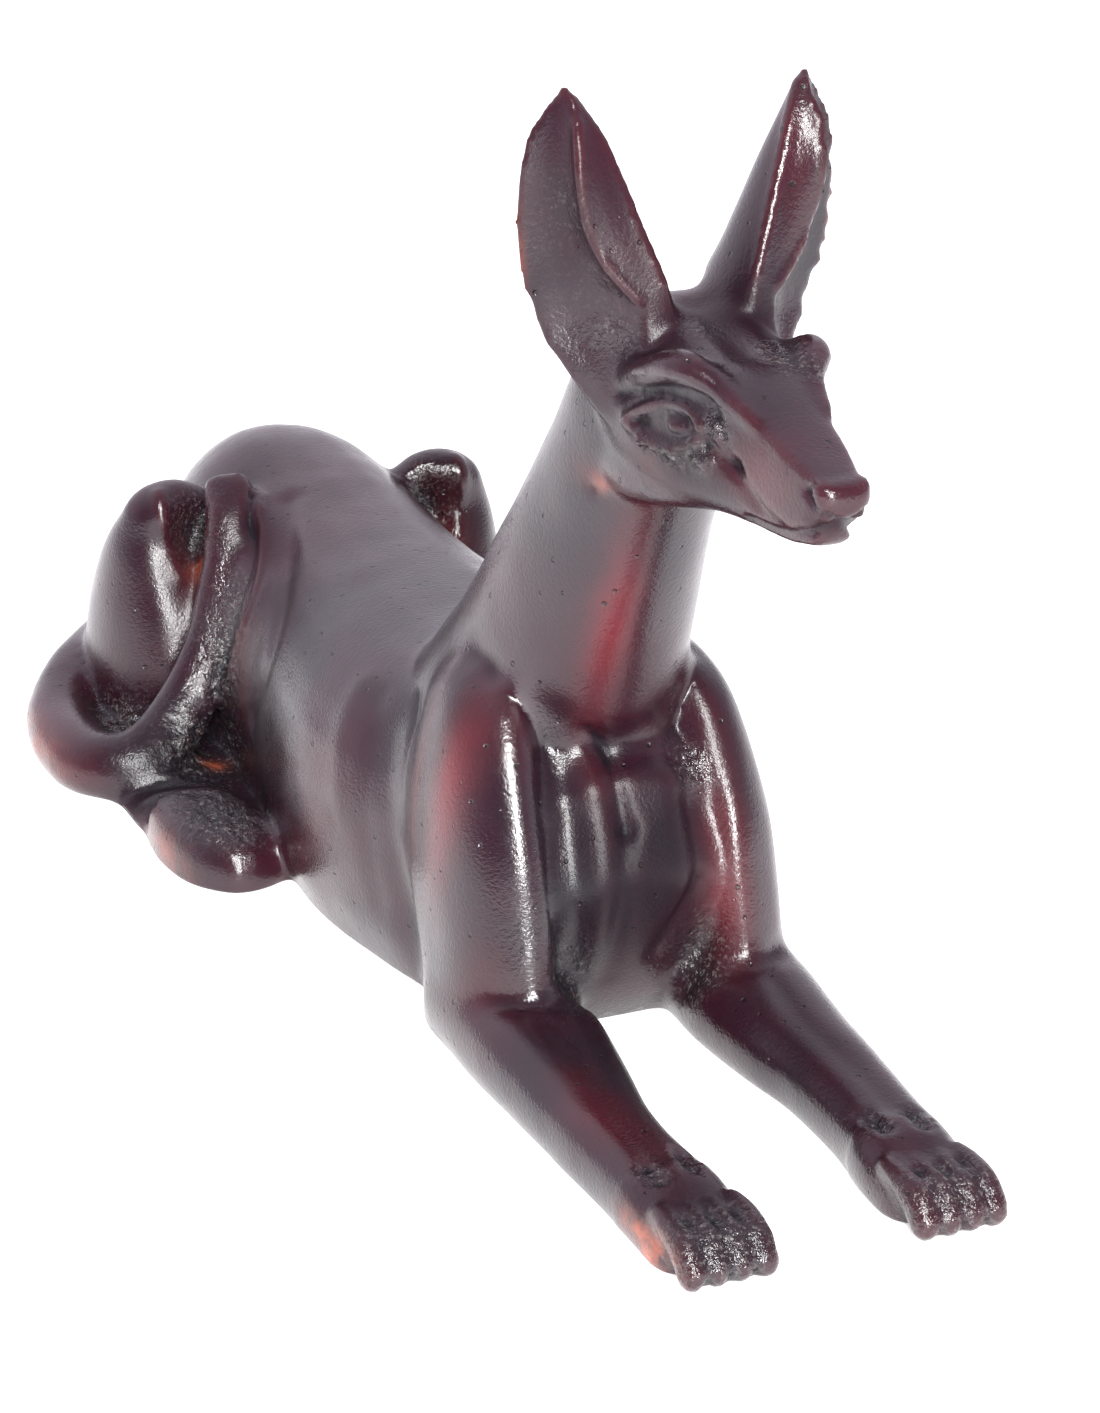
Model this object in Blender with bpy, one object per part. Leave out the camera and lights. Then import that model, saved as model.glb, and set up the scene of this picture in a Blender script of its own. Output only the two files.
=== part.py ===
"""A small cast figure of a jackal lying down, its tail wrapped round its right haunch.

Metres, +Z up. The figure faces -Y and its own right side is towards -X. The origin lies on
the plane of symmetry, on the flat underside, below the trunk.
"""

import bmesh
import bpy
import numpy as np

# The figure is a free form: each size below is in 138ths of its length, a millimetre at real size
FIGURE_LENGTH = 0.138
UNIT = FIGURE_LENGTH / 138

# Fineness of the melted skin, in units, and of the shells that are melted into it
VOXEL = 0.5
FACE_COUNT = 11400
RING_POINTS = 28
RINGS = 30
TRUNK_RINGS = 40
TAIL_RINGS = 60
EAR_RINGS = 36
BOW_STEPS = 8
BALL_FINENESS = 3
CAP_ANGLES = (25, 50, 70, 84)
STROKE_STEPS = 4

# Squareness of a section: 2 is an ellipse, more is nearer to a rectangle
ROUND = 2.0
LIMB_SQUARENESS = 2.4
THIGH_SQUARENESS = 2.1
FOOT_SQUARENESS = 3.2

# Along the trunk: distance to the rear, middle height, half width, half height, squareness.
# A form's bluntness is how far its rounded end reaches, as a share of its smaller half size
TRUNK_BLUNTNESS = 0.25
TRUNK = (
    (-29.2, 5.6, 8.6, 11.0, 2.7),
    (-25.6, 7.4, 10.0, 14.2, 2.6),
    (-22.0, 8.6, 11.6, 16.4, 2.5),
    (-12.0, 8.3, 14.4, 17.0, 2.4),
    (3.0, 7.5, 16.2, 16.6, 2.45),
    (25.0, 7.5, 13.2, 16.9, 2.4),
    (42.0, 7.5, 13.2, 18.4, 2.3),
    (53.0, 7.5, 12.8, 18.8, 2.2),
    (62.0, 7.0, 10.4, 16.2, 2.1),
)

# Up the neck: distance to the rear, height, half width, half depth
NECK = (
    (-12.0, 18.0, 10.5, 12.0),
    (-18.5, 26.0, 9.0, 10.9),
    (-25.2, 36.5, 7.5, 9.1),
    (-30.6, 45.0, 6.4, 7.9),
    (-35.4, 52.0, 5.9, 7.2),
    (-39.5, 56.0, 5.0, 5.5),
)

# From the nape to the nose: distance to the rear, middle height, half width, half height, squareness
HEAD = (
    (-35.5, 55.5, 4.8, 5.0, 2.2),
    (-40.5, 54.3, 6.1, 6.6, 2.3),
    (-46.0, 54.0, 5.8, 6.3, 2.5),
    (-51.0, 53.9, 4.7, 5.4, 2.9),
    (-56.0, 53.1, 3.0, 4.2, 3.8),
    (-60.0, 52.5, 2.4, 3.3, 4.4),
    (-62.8, 52.3, 1.9, 2.6, 4.0),
)

HEAD_BLUNTNESS = 0.5
# The nose pad stands further forward than the chin
NOSE = (
    (-59.0, 53.6, 1.7, 1.3, 4.0),
    (-64.5, 53.2, 1.95, 1.4, 4.0),
)
# The back of the lower jaw, squarer than the skull above it
JAW = (
    (-37.8, 48.7, 5.3, 2.3, 3.2),
    (-41.0, 48.9, 5.5, 2.3, 3.4),
    (-46.0, 49.7, 4.7, 2.0, 3.4),
    (-51.0, 50.8, 3.4, 1.8, 3.4),
)

# Along the brow, from behind: place, radius
BROW = (
    (5.6, -42.5, 56.6, 0.7),
    (5.3, -46.4, 57.8, 1.2),
    (4.7, -50.2, 58.8, 1.4),
    (3.2, -53.2, 57.8, 0.9),
    (2.4, -56.5, 56.4, 0.5),
)
EYE_PLACE = (4.7, -49.9, 55.0)
EYE_SIZE = (1.1, 1.3, 0.9)

# Up the ear: height, then the front crest, the rim of the hollow, the outer edge and the back of
# the inner side, each as a distance from the middle and a distance to the rear
EAR = (
    (53.0, 3.4, -42.0, 4.6, -42.6, 6.8, -41.0, 4.6, -38.0),
    (56.0, 2.8, -43.2, 5.2, -44.2, 9.0, -39.9, 3.8, -36.8),
    (59.0, 2.6, -44.0, 5.1, -44.3, 10.7, -38.4, 3.0, -36.3),
    (61.5, 2.9, -44.4, 5.3, -43.8, 11.5, -38.4, 3.0, -36.4),
    (64.0, 3.7, -43.9, 7.2, -43.0, 12.1, -38.6, 4.2, -36.6),
    (67.0, 4.8, -43.0, 8.8, -42.7, 12.3, -38.5, 5.6, -36.8),
    (70.0, 5.8, -42.2, 9.2, -42.7, 12.1, -38.7, 7.0, -37.0),
    (73.0, 7.0, -41.2, 9.2, -42.2, 11.3, -38.8, 8.2, -37.8),
    (75.2, 8.3, -40.0, 9.0, -41.0, 9.9, -39.3, 8.5, -38.8),
    (76.2, 8.8, -39.7, 9.0, -40.1, 9.3, -39.6, 8.9, -39.3),
)
# How far the four faces between those edges bow out, as a share of their width
EAR_BOWS = (0.05, -0.2, 0.16, 0.14)

# Down the upper foreleg: distance from the middle, distance to the rear, height, half width, half depth
SHOULDER = (
    (7.8, -18.5, 25.0, 3.2, 6.4),
    (8.6, -20.7, 21.0, 4.0, 8.2),
    (9.4, -23.0, 14.0, 4.4, 9.4),
    (9.7, -25.0, 7.0, 4.3, 9.2),
    (9.7, -26.0, 1.0, 4.6, 8.8),
)

# Along the lower foreleg: distance from the middle, distance to the rear, height, half width, half height
FORELEG = (
    (9.5, -24.0, 2.2, 5.0, 4.4),
    (9.2, -34.0, 2.1, 5.4, 4.1),
    (9.3, -41.0, 1.8, 4.8, 3.7),
    (9.6, -48.0, 1.5, 4.0, 3.4),
    (9.4, -55.0, 1.3, 3.7, 3.3),
    (9.0, -60.0, 1.2, 3.9, 3.2),
    (8.9, -64.0, 0.6, 3.8, 2.9),
)

# Up the thigh: distance from the middle, distance to the rear, height, half width, half depth
THIGH = (
    (13.4, 49.5, -2.0, 7.8, 11.0),
    (13.6, 49.0, 7.0, 7.4, 10.6),
    (13.6, 48.0, 13.5, 6.6, 8.4),
    (13.5, 46.8, 18.0, 5.8, 5.8),
    (13.5, 45.9, 20.9, 4.8, 3.6),
)
# What the casting fills in at ground level: between foot and belly, and between tail and haunch
FOOT_WEB = (
    (17.4, 42.0, -1.4, 6.6, 3.8),
    (18.0, 30.0, -1.4, 6.8, 3.4),
    (17.6, 20.0, -1.4, 6.6, 3.4),
    (15.0, 12.0, -1.2, 6.0, 3.6),
)
TAIL_WEB = (
    (-15.0, 58.0, -1.0, 5.0, 3.4),
    (-20.0, 50.0, -1.0, 5.0, 3.4),
    (-20.0, 38.0, -1.0, 5.0, 3.4),
)
BUTTOCK_PLACE = (8.6, 53.4, 6.6)
BUTTOCK_SIZE = (10.9, 11.6, 14.2)

# Along the hind foot: distance from the middle, distance to the rear, height, half width, half height
HIND_FOOT = (
    (19.8, 19.4, 0.3, 4.5, 4.0),
    (19.8, 15.0, 0.3, 4.8, 4.2),
    (19.2, 10.8, 0.3, 4.7, 4.2),
    (17.8, 7.8, 0.2, 4.0, 3.8),
)

FOOT_BLUNTNESS = 0.6

# Along the tail: place, half width across the band, half thickness, squareness
TAIL = (
    (-4.0, 65.5, 6.0, 3.6, 3.4, 2.1),
    (-13.0, 62.0, 4.4, 3.4, 3.2, 2.1),
    (-20.2, 55.5, 3.2, 3.3, 3.1, 2.1),
    (-24.8, 47.0, 2.2, 3.3, 3.2, 2.1),
    (-26.0, 39.5, 2.0, 3.3, 3.2, 2.1),
    (-25.0, 33.4, 2.0, 3.3, 3.2, 2.1),
    (-21.8, 30.9, 2.6, 3.1, 2.9, 2.3),
    (-17.9, 32.4, 5.2, 2.9, 2.4, 2.6),
    (-13.9, 34.2, 10.4, 2.6, 2.1, 3.0),
    (-11.6, 35.4, 16.6, 2.4, 1.9, 3.4),
    (-9.9, 37.5, 22.2, 2.3, 1.7, 3.8),
    (-9.3, 41.0, 25.3, 2.3, 1.5, 4.0),
)
# Where the band at the tail's end faces
TAIL_FACE = (-0.3, -0.8, 0.52)
TAIL_BLUNTNESS = 0.35

# Across the paw: where its toes lie. Along a toe, back from the paw's front: height, half width, half height
TOE_PLACES = (-2.7, -0.9, 0.9, 2.6)
TOE = (
    (6.4, 3.0, 0.9, 0.9),
    (4.4, 3.0, 1.1, 1.0),
    (2.4, 2.4, 1.1, 1.4),
    (1.0, 1.1, 1.05, 1.3),
)
PAW_FRONT = -69.3

# How far the melted skin is evened out, in square units, and each point's share in it
EVENNESS = 3.6
BODY_SHARE = 0.5
EAR_SHARE = 0.06
FACE_SHARE = 0.12
PAW_SHARE = 0.05
EAR_FOOT = 62.0
FACE_FOOT = 46.0
FACE_BACK = -44.0
WRIST = -58.0

# Carved lines on both sides: width, height above the skin (a groove where negative), then the
# points it runs through, given for the figure's left side
PAIRED_STROKES = (
    # fold round the eye, below the brow
    (0.5, -0.4, (6.2, -42.5, 55.2), (5.6, -45.5, 56.4), (5.5, -50.5, 57.4),
     (4.4, -53.0, 57.0), (3.5, -54.0, 54.8)),
    # upper and lower eyelid
    (0.5, 0.4, (6.0, -43.7, 53.7), (6.0, -46.0, 55.0), (5.4, -48.1, 55.9), (4.7, -50.8, 56.2),
     (4.3, -52.0, 55.4)),
    (0.5, 0.4, (6.0, -43.7, 53.7), (5.8, -46.7, 53.1), (5.4, -48.9, 53.3), (4.7, -51.2, 54.0),
     (4.3, -52.0, 55.4)),
    # tear groove and cheek
    (0.7, -0.5, (4.3, -52.4, 54.4), (3.9, -53.0, 53.8), (3.1, -54.8, 53.2)),
    (0.6, -0.3, (3.1, -54.8, 53.3), (2.5, -56.2, 52.0), (2.4, -57.8, 50.9), (2.1, -59.8, 50.4)),
    # mouth
    (0.4, -0.35, (2.4, -55.6, 49.7), (2.1, -58.5, 49.7), (2.0, -60.8, 50.1),
     (1.5, -62.9, 50.8), (0.3, -64.3, 51.6)),
    # lower edge of the jaw
    (0.6, -0.45, (5.7, -36.2, 46.3), (5.4, -38.6, 45.9), (4.2, -41.6, 46.0), (2.4, -44.0, 46.6)),
    # crease behind the nose pad
    (0.4, -0.3, (1.8, -62.8, 53.8), (1.6, -63.6, 53.0), (1.2, -64.6, 52.5), (0.2, -64.6, 51.8)),
    # edge of the muzzle's flat top
    (0.6, 0.3, (3.2, -53.6, 57.6), (2.7, -57.0, 56.6), (2.3, -60.0, 55.6), (1.8, -64.0, 54.4)),
    # ear: front crest and rim of the hollow
    (0.5, 0.3, (8.4, -39.8, 75.0), (6.3, -41.9, 71.2), (4.9, -43.0, 67.1), (3.4, -44.2, 63.2)),
    (0.45, 0.25, (8.9, -41.6, 74.2), (9.1, -42.6, 70.0), (8.7, -42.8, 66.6), (7.2, -43.1, 64.2),
     (5.2, -43.7, 62.0)),
    # fold where the neck enters the breast
    (1.9, -0.4, (9.0, -21.5, 29.0), (5.0, -27.5, 26.6), (2.2, -28.9, 24.3), (0.0, -28.9, 23.8)),
    # hollow between breast and upper foreleg
    (1.5, -0.7, (5.0, -30.0, 22.0), (5.2, -33.0, 15.0), (4.9, -33.2, 9.0), (4.6, -32.8, 4.0)),
    # rounded ridge down the front of the upper foreleg
    (1.8, 0.9, (7.2, -25.8, 27.4), (8.3, -28.8, 22.6), (8.6, -31.5, 17.5), (8.5, -33.2, 11.2),
     (8.8, -34.2, 7.0)),
    # bend of the elbow
    (1.0, -0.3, (13.0, -33.8, 6.6), (8.9, -36.0, 6.2), (5.4, -35.0, 5.6)),
    # groove along the lower foreleg
    (1.1, -0.35, (9.4, -38.0, 5.6), (9.0, -44.0, 5.3), (9.5, -51.0, 4.9), (9.4, -57.4, 4.6)),
    # wrist
    (0.8, -0.7, (10.6, -58.2, 4.4), (10.4, -60.0, 4.2)),
    (0.8, -0.7, (7.2, -57.4, 4.2), (7.5, -59.4, 4.2)),
    # between the toes
    (0.5, -0.25, (7.1, -64.9, 3.7), (7.1, -66.6, 3.0), (7.1, -69.2, 0.4)),
    (0.5, -0.25, (8.9, -64.9, 3.7), (8.9, -66.6, 3.1), (8.9, -69.4, 0.4)),
    (0.5, -0.25, (10.7, -64.9, 3.7), (10.7, -66.6, 3.0), (10.7, -69.2, 0.4)),
    # behind the shoulder
    (2.6, -0.7, (12.3, -10.5, 18.8), (13.0, -13.0, 14.4), (13.2, -15.8, 8.7), (13.6, -20.0, 2.0)),
    # inner edge of the knee
    (0.9, 0.5, (15.0, 44.0, 24.0), (14.9, 42.0, 20.5), (13.8, 41.0, 16.5)),
)
SINGLE_STROKES = (
    # lower edge of the right breast, and the groove below it
    (0.8, -0.55, (-2.4, -28.6, 25.0), (-1.1, -28.7, 22.6), (-1.2, -31.0, 21.0), (-1.0, -32.9, 18.0)),
    (0.9, -0.45, (-0.9, -32.9, 18.0), (-1.6, -33.5, 15.0), (-1.8, -33.5, 10.0), (-1.8, -32.0, 4.8)),
    # left breast and the groove below it
    (2.2, 0.4, (5.4, -29.4, 21.4), (3.4, -31.8, 19.6)),
    (1.0, -0.5, (4.6, -32.9, 12.8), (3.2, -33.1, 9.6), (2.1, -32.4, 6.8)),
    # skull
    (1.6, -0.5, (0.0, -42.0, 61.2), (0.0, -50.0, 60.0)),
    # fold in front of the tail, and the grooves on its two sides
    (0.55, 0.6, (-6.8, 38.6, 24.4), (-9.7, 30.4, 21.0), (-11.8, 28.0, 17.6),
     (-13.0, 28.8, 12.0), (-13.4, 30.6, 8.9)),
    (0.7, -0.6, (-7.6, 38.1, 24.2), (-10.2, 32.4, 20.7), (-12.0, 31.0, 17.3),
     (-13.0, 31.4, 12.3), (-13.9, 31.6, 8.4)),
    (1.4, -0.4, (-4.9, 35.9, 24.4), (-8.7, 25.5, 21.4), (-11.2, 20.2, 18.7),
     (-13.2, 18.1, 15.0), (-13.5, 21.8, 8.9)),
)
# Hollows on both sides: middle, reach along each axis, shift of the skin at the middle
HOLLOWS = (
    # scoop between knee and rump
    ((11.4, 42.0, 19.0), (2.6, 4.0, 4.2), (0.0, 2.6, -0.3)),
    # bowl of the ear
    ((10.8, -41.6, 64.0), (2.0, 2.0, 4.6), (-0.9, 0.9, 0.0)),
)


def clear_scene():
    for item in list(bpy.data.objects):
        bpy.data.objects.remove(item, do_unlink=True)


def smooth_rows(rows, count):
    """The rows read at even steps along a smooth curve through them."""
    rows = np.array(rows, float)
    padded = np.vstack([2 * rows[0] - rows[1], rows, 2 * rows[-1] - rows[-2]])
    places = np.linspace(0, len(rows) - 1, count)
    first = np.minimum(places.astype(int), len(rows) - 2)
    t = (places - first)[:, None]
    a, b, c, d = (padded[first + k] for k in range(4))
    square = (2 * a - 5 * b + 4 * c - d) * t**2
    cube = (3 * b - a - 3 * c + d) * t**3
    return (2 * b + (c - a) * t + square + cube) / 2


def unit_rows(vectors):
    return vectors / np.linalg.norm(vectors, axis=-1, keepdims=True)


def ring_frames(centres, side):
    """For each ring the directions along the path, across it and over it."""
    along = unit_rows(np.gradient(centres, axis=0))
    side = np.asarray(side, float)
    across = unit_rows(side - along * (along @ side)[:, None])
    return along, across, np.cross(along, across)


def add_rings(bm, rings):
    """Skins a list of rings and closes both ends."""
    loops = [[bm.verts.new(point * UNIT) for point in ring] for ring in rings]
    count = len(loops[0])
    for lower, upper in zip(loops, loops[1:]):
        for k in range(count):
            bm.faces.new((lower[k], lower[(k + 1) % count], upper[(k + 1) % count], upper[k]))
    bm.faces.new(loops[0][::-1])
    bm.faces.new(loops[-1])


def add_loft(bm, centres, widths, depths, squareness, side, rings=RINGS, bluntness=1.0):
    """A round-ended form along a path, with superelliptic sections."""
    table = np.column_stack([centres, widths, depths, squareness])
    table = smooth_rows(table, rings)
    along, across, over = ring_frames(table[:, :3], side)
    angles = np.linspace(0, 2 * np.pi, RING_POINTS, endpoint=False)
    skins = [(row[:3], row[3], row[4], row[5], index) for index, row in enumerate(table)]
    first = rounded_end(skins[0], -along[0], bluntness)
    last = rounded_end(skins[-1], along[-1], bluntness)
    made = []
    for centre, width, depth, power, index in first[::-1] + skins + last:
        x = rounded(np.cos(angles), power) * width
        y = rounded(np.sin(angles), power) * depth
        made.append(centre + x[:, None] * across[index] + y[:, None] * over[index])
    add_rings(bm, made)


def rounded(wave, power):
    return np.sign(wave) * np.abs(wave) ** (2 / power)


def rounded_end(skin, direction, bluntness):
    centre, width, depth, power, index = skin
    reach = min(width, depth) * bluntness
    cap = []
    for angle in np.radians(CAP_ANGLES):
        place = centre + direction * reach * np.sin(angle)
        cap.append((place, width * np.cos(angle), depth * np.cos(angle), power, index))
    return cap


def on_middle(rows):
    """Places on the plane of symmetry."""
    return np.column_stack([np.zeros(len(rows)), rows[:, 0], rows[:, 1]])


def add_trunk(bm):
    rows = np.array(TRUNK)
    squareness = rows[:, 4]
    add_loft(bm, on_middle(rows), rows[:, 2], rows[:, 3], squareness, (1, 0, 0), TRUNK_RINGS, TRUNK_BLUNTNESS)


def add_neck(bm):
    rows = np.array(NECK)
    add_loft(bm, on_middle(rows), rows[:, 2], rows[:, 3], np.full(len(rows), ROUND), (1, 0, 0))


def add_head(bm, rows):
    rows = np.array(rows)
    squareness = rows[:, 4]
    add_loft(bm, on_middle(rows), rows[:, 2], rows[:, 3], squareness, (1, 0, 0), bluntness=HEAD_BLUNTNESS)


def mirrored(rows, hand):
    rows = np.array(rows, float)
    rows[:, 0] *= hand
    return rows


def add_limb(bm, rows, hand, squareness=LIMB_SQUARENESS, bluntness=1.0):
    rows = mirrored(rows, hand)
    power = np.full(len(rows), squareness)
    add_loft(bm, rows[:, :3], rows[:, 3], rows[:, 4], power, (1, 0, 0), bluntness=bluntness)


def add_toes(bm, hand):
    for offset in TOE_PLACES:
        across = FORELEG[-1][0] + offset
        rows = [(across, PAW_FRONT + back, height, wide, high) for back, height, wide, high in TOE]
        add_limb(bm, rows, hand, ROUND)


def bowed_side(start, end, bow):
    """Points from one corner of a section towards the next, on a bow."""
    steps = np.linspace(0, 1, BOW_STEPS, endpoint=False)[:, None]
    run = end - start
    outwards = np.array([run[1], -run[0], 0])
    return start + run * steps + outwards * bow * 4 * steps * (1 - steps)


def add_ear(bm, hand):
    """A pointed ear with four faces: front, hollow, back and inner side."""
    rings = []
    for row in smooth_rows(EAR, EAR_RINGS):
        corners = [np.array([row[k], row[k + 1], row[0]]) for k in (1, 3, 5, 7)]
        sides = zip(corners, corners[1:] + corners[:1], EAR_BOWS)
        ring = np.vstack([bowed_side(start, end, bow) for start, end, bow in sides])
        rings.append((ring * (hand, 1, 1))[::hand])
    add_rings(bm, rings)


def add_brow(bm, hand):
    rows = mirrored(BROW, hand)
    radii = rows[:, 3]
    add_loft(bm, rows[:, :3], radii, radii, np.full(len(rows), ROUND), (1, 0, 0))


def add_ball(bm, place, size, hand):
    made = bmesh.ops.create_icosphere(bm, subdivisions=BALL_FINENESS, radius=1.0)
    for vert in made["verts"]:
        point = np.array(vert.co) * size + np.array(place) * (hand, 1, 1)
        vert.co = point * UNIT


def add_tail(bm):
    rows = np.array(TAIL)
    wide, thick, squareness = rows[:, 3], rows[:, 4], rows[:, 5]
    add_loft(bm, rows[:, :3], thick, wide, squareness, TAIL_FACE, TAIL_RINGS, TAIL_BLUNTNESS)


def rough_forms():
    """The limbs and masses as closed shells that overlap, in one mesh."""
    bm = bmesh.new()
    add_trunk(bm)
    add_neck(bm)
    add_head(bm, HEAD)
    add_head(bm, NOSE)
    add_head(bm, JAW)
    for hand in (-1, 1):
        add_ear(bm, hand)
        add_brow(bm, hand)
        add_ball(bm, EYE_PLACE, EYE_SIZE, hand)
        add_limb(bm, SHOULDER, hand)
        add_limb(bm, FORELEG, hand)
        add_toes(bm, hand)
        add_limb(bm, THIGH, hand, THIGH_SQUARENESS)
        add_limb(bm, HIND_FOOT, hand, FOOT_SQUARENESS, FOOT_BLUNTNESS)
        add_limb(bm, FOOT_WEB, hand)
        add_ball(bm, BUTTOCK_PLACE, BUTTOCK_SIZE, hand)
    add_limb(bm, TAIL_WEB, 1)
    add_tail(bm)
    bmesh.ops.recalc_face_normals(bm, faces=bm.faces)
    mesh = bpy.data.meshes.new("rough_forms")
    bm.to_mesh(mesh)
    bm.free()
    return mesh


def evaluated_copy(item, name):
    """The object's mesh with its modifiers applied, as a new mesh."""
    graph = bpy.context.evaluated_depsgraph_get()
    graph.update()
    made = bpy.data.meshes.new_from_object(item.evaluated_get(graph))
    made.name = name
    return made


def melt(mesh):
    """One skin round all the shells."""
    item = bpy.data.objects.new("melt", mesh)
    bpy.context.scene.collection.objects.link(item)
    remesh = item.modifiers.new("melt", "REMESH")
    remesh.mode = "VOXEL"
    remesh.voxel_size = VOXEL * UNIT
    remesh.adaptivity = 0
    made = evaluated_copy(item, "melted")
    bpy.data.objects.remove(item)
    return made


def points_of(mesh):
    points = np.empty(len(mesh.vertices) * 3, np.float32)
    mesh.vertices.foreach_get("co", points)
    return points.reshape(-1, 3).astype(float) / UNIT


def edges_of(mesh):
    edges = np.empty(len(mesh.edges) * 2, np.int32)
    mesh.edges.foreach_get("vertices", edges)
    return edges.reshape(-1, 2)


def set_points(mesh, points):
    mesh.vertices.foreach_set("co", (points * UNIT).astype(np.float32).ravel())
    mesh.update()


def relaxed(points, edges, rounds, share):
    """Moves each point towards the middle of its neighbours, by its share."""
    count = np.bincount(edges.ravel(), minlength=len(points))[:, None]
    for _ in range(rounds):
        total = np.zeros_like(points)
        for axis in range(3):
            total[:, axis] += np.bincount(edges[:, 0], points[edges[:, 1], axis], len(points))
            total[:, axis] += np.bincount(edges[:, 1], points[edges[:, 0], axis], len(points))
        points = points + share[:, None] * (total / count - points)
    return points


def distance_to_path(points, path):
    nearest = np.full(len(points), np.inf)
    for start, end in zip(path, path[1:]):
        run = end - start
        t = np.clip((points - start) @ run / (run @ run), 0, 1)
        nearest = np.minimum(nearest, np.linalg.norm(points - start - t[:, None] * run, axis=1))
    return nearest


def normals_of(mesh):
    normals = np.empty(len(mesh.vertices) * 3, np.float32)
    mesh.vertices.foreach_get("normal", normals)
    return normals.reshape(-1, 3).astype(float)


def carve(points, normals, stroke, hand=1):
    """Raises or lowers the skin along one line."""
    width, height = stroke[:2]
    path = mirrored(stroke[2:], hand)
    path = smooth_rows(path, STROKE_STEPS * len(path))
    share = np.exp(-((distance_to_path(points, path) / width) ** 2))
    return points + normals * (height * share)[:, None]


def carved(mesh):
    points, normals = points_of(mesh), normals_of(mesh)
    for hand in (-1, 1):
        for stroke in PAIRED_STROKES:
            points = carve(points, normals, stroke, hand)
        for middle, reach, shift in HOLLOWS:
            offset = np.linalg.norm((points - np.array(middle) * (hand, 1, 1)) / reach, axis=1)
            points = points + np.exp(-(offset**2))[:, None] * np.array(shift) * (hand, 1, 1)
    for stroke in SINGLE_STROKES:
        points = carve(points, normals, stroke)
    return points


def softness(points):
    """Each point's share in the evening-out: little on the ears, the face and the paws."""
    rearwards, height = points[:, 1], points[:, 2]
    share = np.full(len(points), BODY_SHARE)
    share[height > EAR_FOOT] = EAR_SHARE
    share[(height > FACE_FOOT) & (rearwards < FACE_BACK)] = FACE_SHARE
    share[(height < FACE_FOOT) & (rearwards < WRIST)] = PAW_SHARE
    return share


def figure_mesh():
    mesh = melt(rough_forms())
    points = points_of(mesh)
    rounds = round(EVENNESS / VOXEL**2)
    points = relaxed(points, edges_of(mesh), rounds, softness(points))
    set_points(mesh, points)
    set_points(mesh, carved(mesh))
    return mesh


def thinned(mesh):
    item = bpy.data.objects.new("thin", mesh)
    bpy.context.scene.collection.objects.link(item)
    fewer = item.modifiers.new("fewer", "DECIMATE")
    mesh.calc_loop_triangles()
    fewer.ratio = FACE_COUNT / len(mesh.loop_triangles)
    made = evaluated_copy(item, "thinned")
    bpy.data.objects.remove(item)
    return made


def cut_flat(mesh):
    """Cuts away what lies below the ground and closes the cut."""
    bm = bmesh.new()
    bm.from_mesh(mesh)
    everything = bm.verts[:] + bm.edges[:] + bm.faces[:]
    down = (0, 0, -1)
    bmesh.ops.bisect_plane(bm, geom=everything, plane_co=(0, 0, 0), plane_no=down, clear_outer=True)
    rim = [edge for edge in bm.edges if edge.is_boundary]
    bmesh.ops.triangle_fill(bm, edges=rim, use_beauty=True, normal=down)
    bmesh.ops.recalc_face_normals(bm, faces=bm.faces)
    bmesh.ops.triangulate(bm, faces=bm.faces)
    bm.to_mesh(mesh)
    bm.free()


def resin():
    material = bpy.data.materials.new("cherry_resin")
    material.use_nodes = True
    shader = material.node_tree.nodes["Principled BSDF"]
    shader.inputs["Base Color"].default_value = (0.085, 0.012, 0.018, 1)
    shader.inputs["Roughness"].default_value = 0.33
    shader.inputs["Metallic"].default_value = 0.0
    return material


def main():
    clear_scene()
    mesh = thinned(figure_mesh())
    cut_flat(mesh)
    mesh.shade_smooth()
    item = bpy.data.objects.new("jackal_statue", mesh)
    bpy.context.scene.collection.objects.link(item)
    item.data.materials.clear()
    item.data.materials.append(resin())


main()
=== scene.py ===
"""The small cast jackal, dressed: finer skin, carved relief, cherry resin and a pale studio.

Metres, +Z up. The figure faces -Y and its own right side is towards -X.
"""

import bmesh
import bpy
import numpy as np
from mathutils import Matrix, Vector, kdtree, noise


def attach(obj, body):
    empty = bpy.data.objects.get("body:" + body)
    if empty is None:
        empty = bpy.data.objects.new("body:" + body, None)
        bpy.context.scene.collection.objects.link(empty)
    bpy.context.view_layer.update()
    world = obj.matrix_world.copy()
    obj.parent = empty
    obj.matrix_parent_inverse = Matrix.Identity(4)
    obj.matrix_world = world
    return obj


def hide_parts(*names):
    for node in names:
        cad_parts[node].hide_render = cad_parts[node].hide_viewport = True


# The photograph's view: angles in degrees, place and lengths in figure units
VIEW_TURN = 22.55
VIEW_DOWN = 21.28
VIEW_PLACE = (-94.4, -242.8, 117.5)
IMAGE_HEIGHT = 1413
FOCAL_PIXELS = 3300
SENSOR_HEIGHT = 36.0
NEAREST_SEEN = 0.001

# The figure is a free form: each size below is in 138ths of its length, a millimetre at real size
FIGURE_LENGTH = 0.138
UNIT = FIGURE_LENGTH / 138

# Fineness of the melted skin, in units, and of the shells that are melted into it
VOXEL = 0.38
RING_POINTS = 28
RINGS = 30
TRUNK_RINGS = 40
TAIL_RINGS = 60
EAR_RINGS = 36
BOW_STEPS = 8
BALL_FINENESS = 3
CAP_ANGLES = (25, 50, 70, 84)
STROKE_STEPS = 4
# A stroke is felt as far away as this many of its widths
STROKE_REACH = 3

# The figure's right and left side, as the sign of a place's distance from the middle. Places
# that already have the sign of their own side are taken as given
BOTH_HANDS = (-1, 1)
AS_GIVEN = (1,)

# Squareness of a section: 2 is an ellipse, more is nearer to a rectangle
ROUND = 2.0
LIMB_SQUARENESS = 2.4
THIGH_SQUARENESS = 2.1
FOOT_SQUARENESS = 3.2

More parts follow.
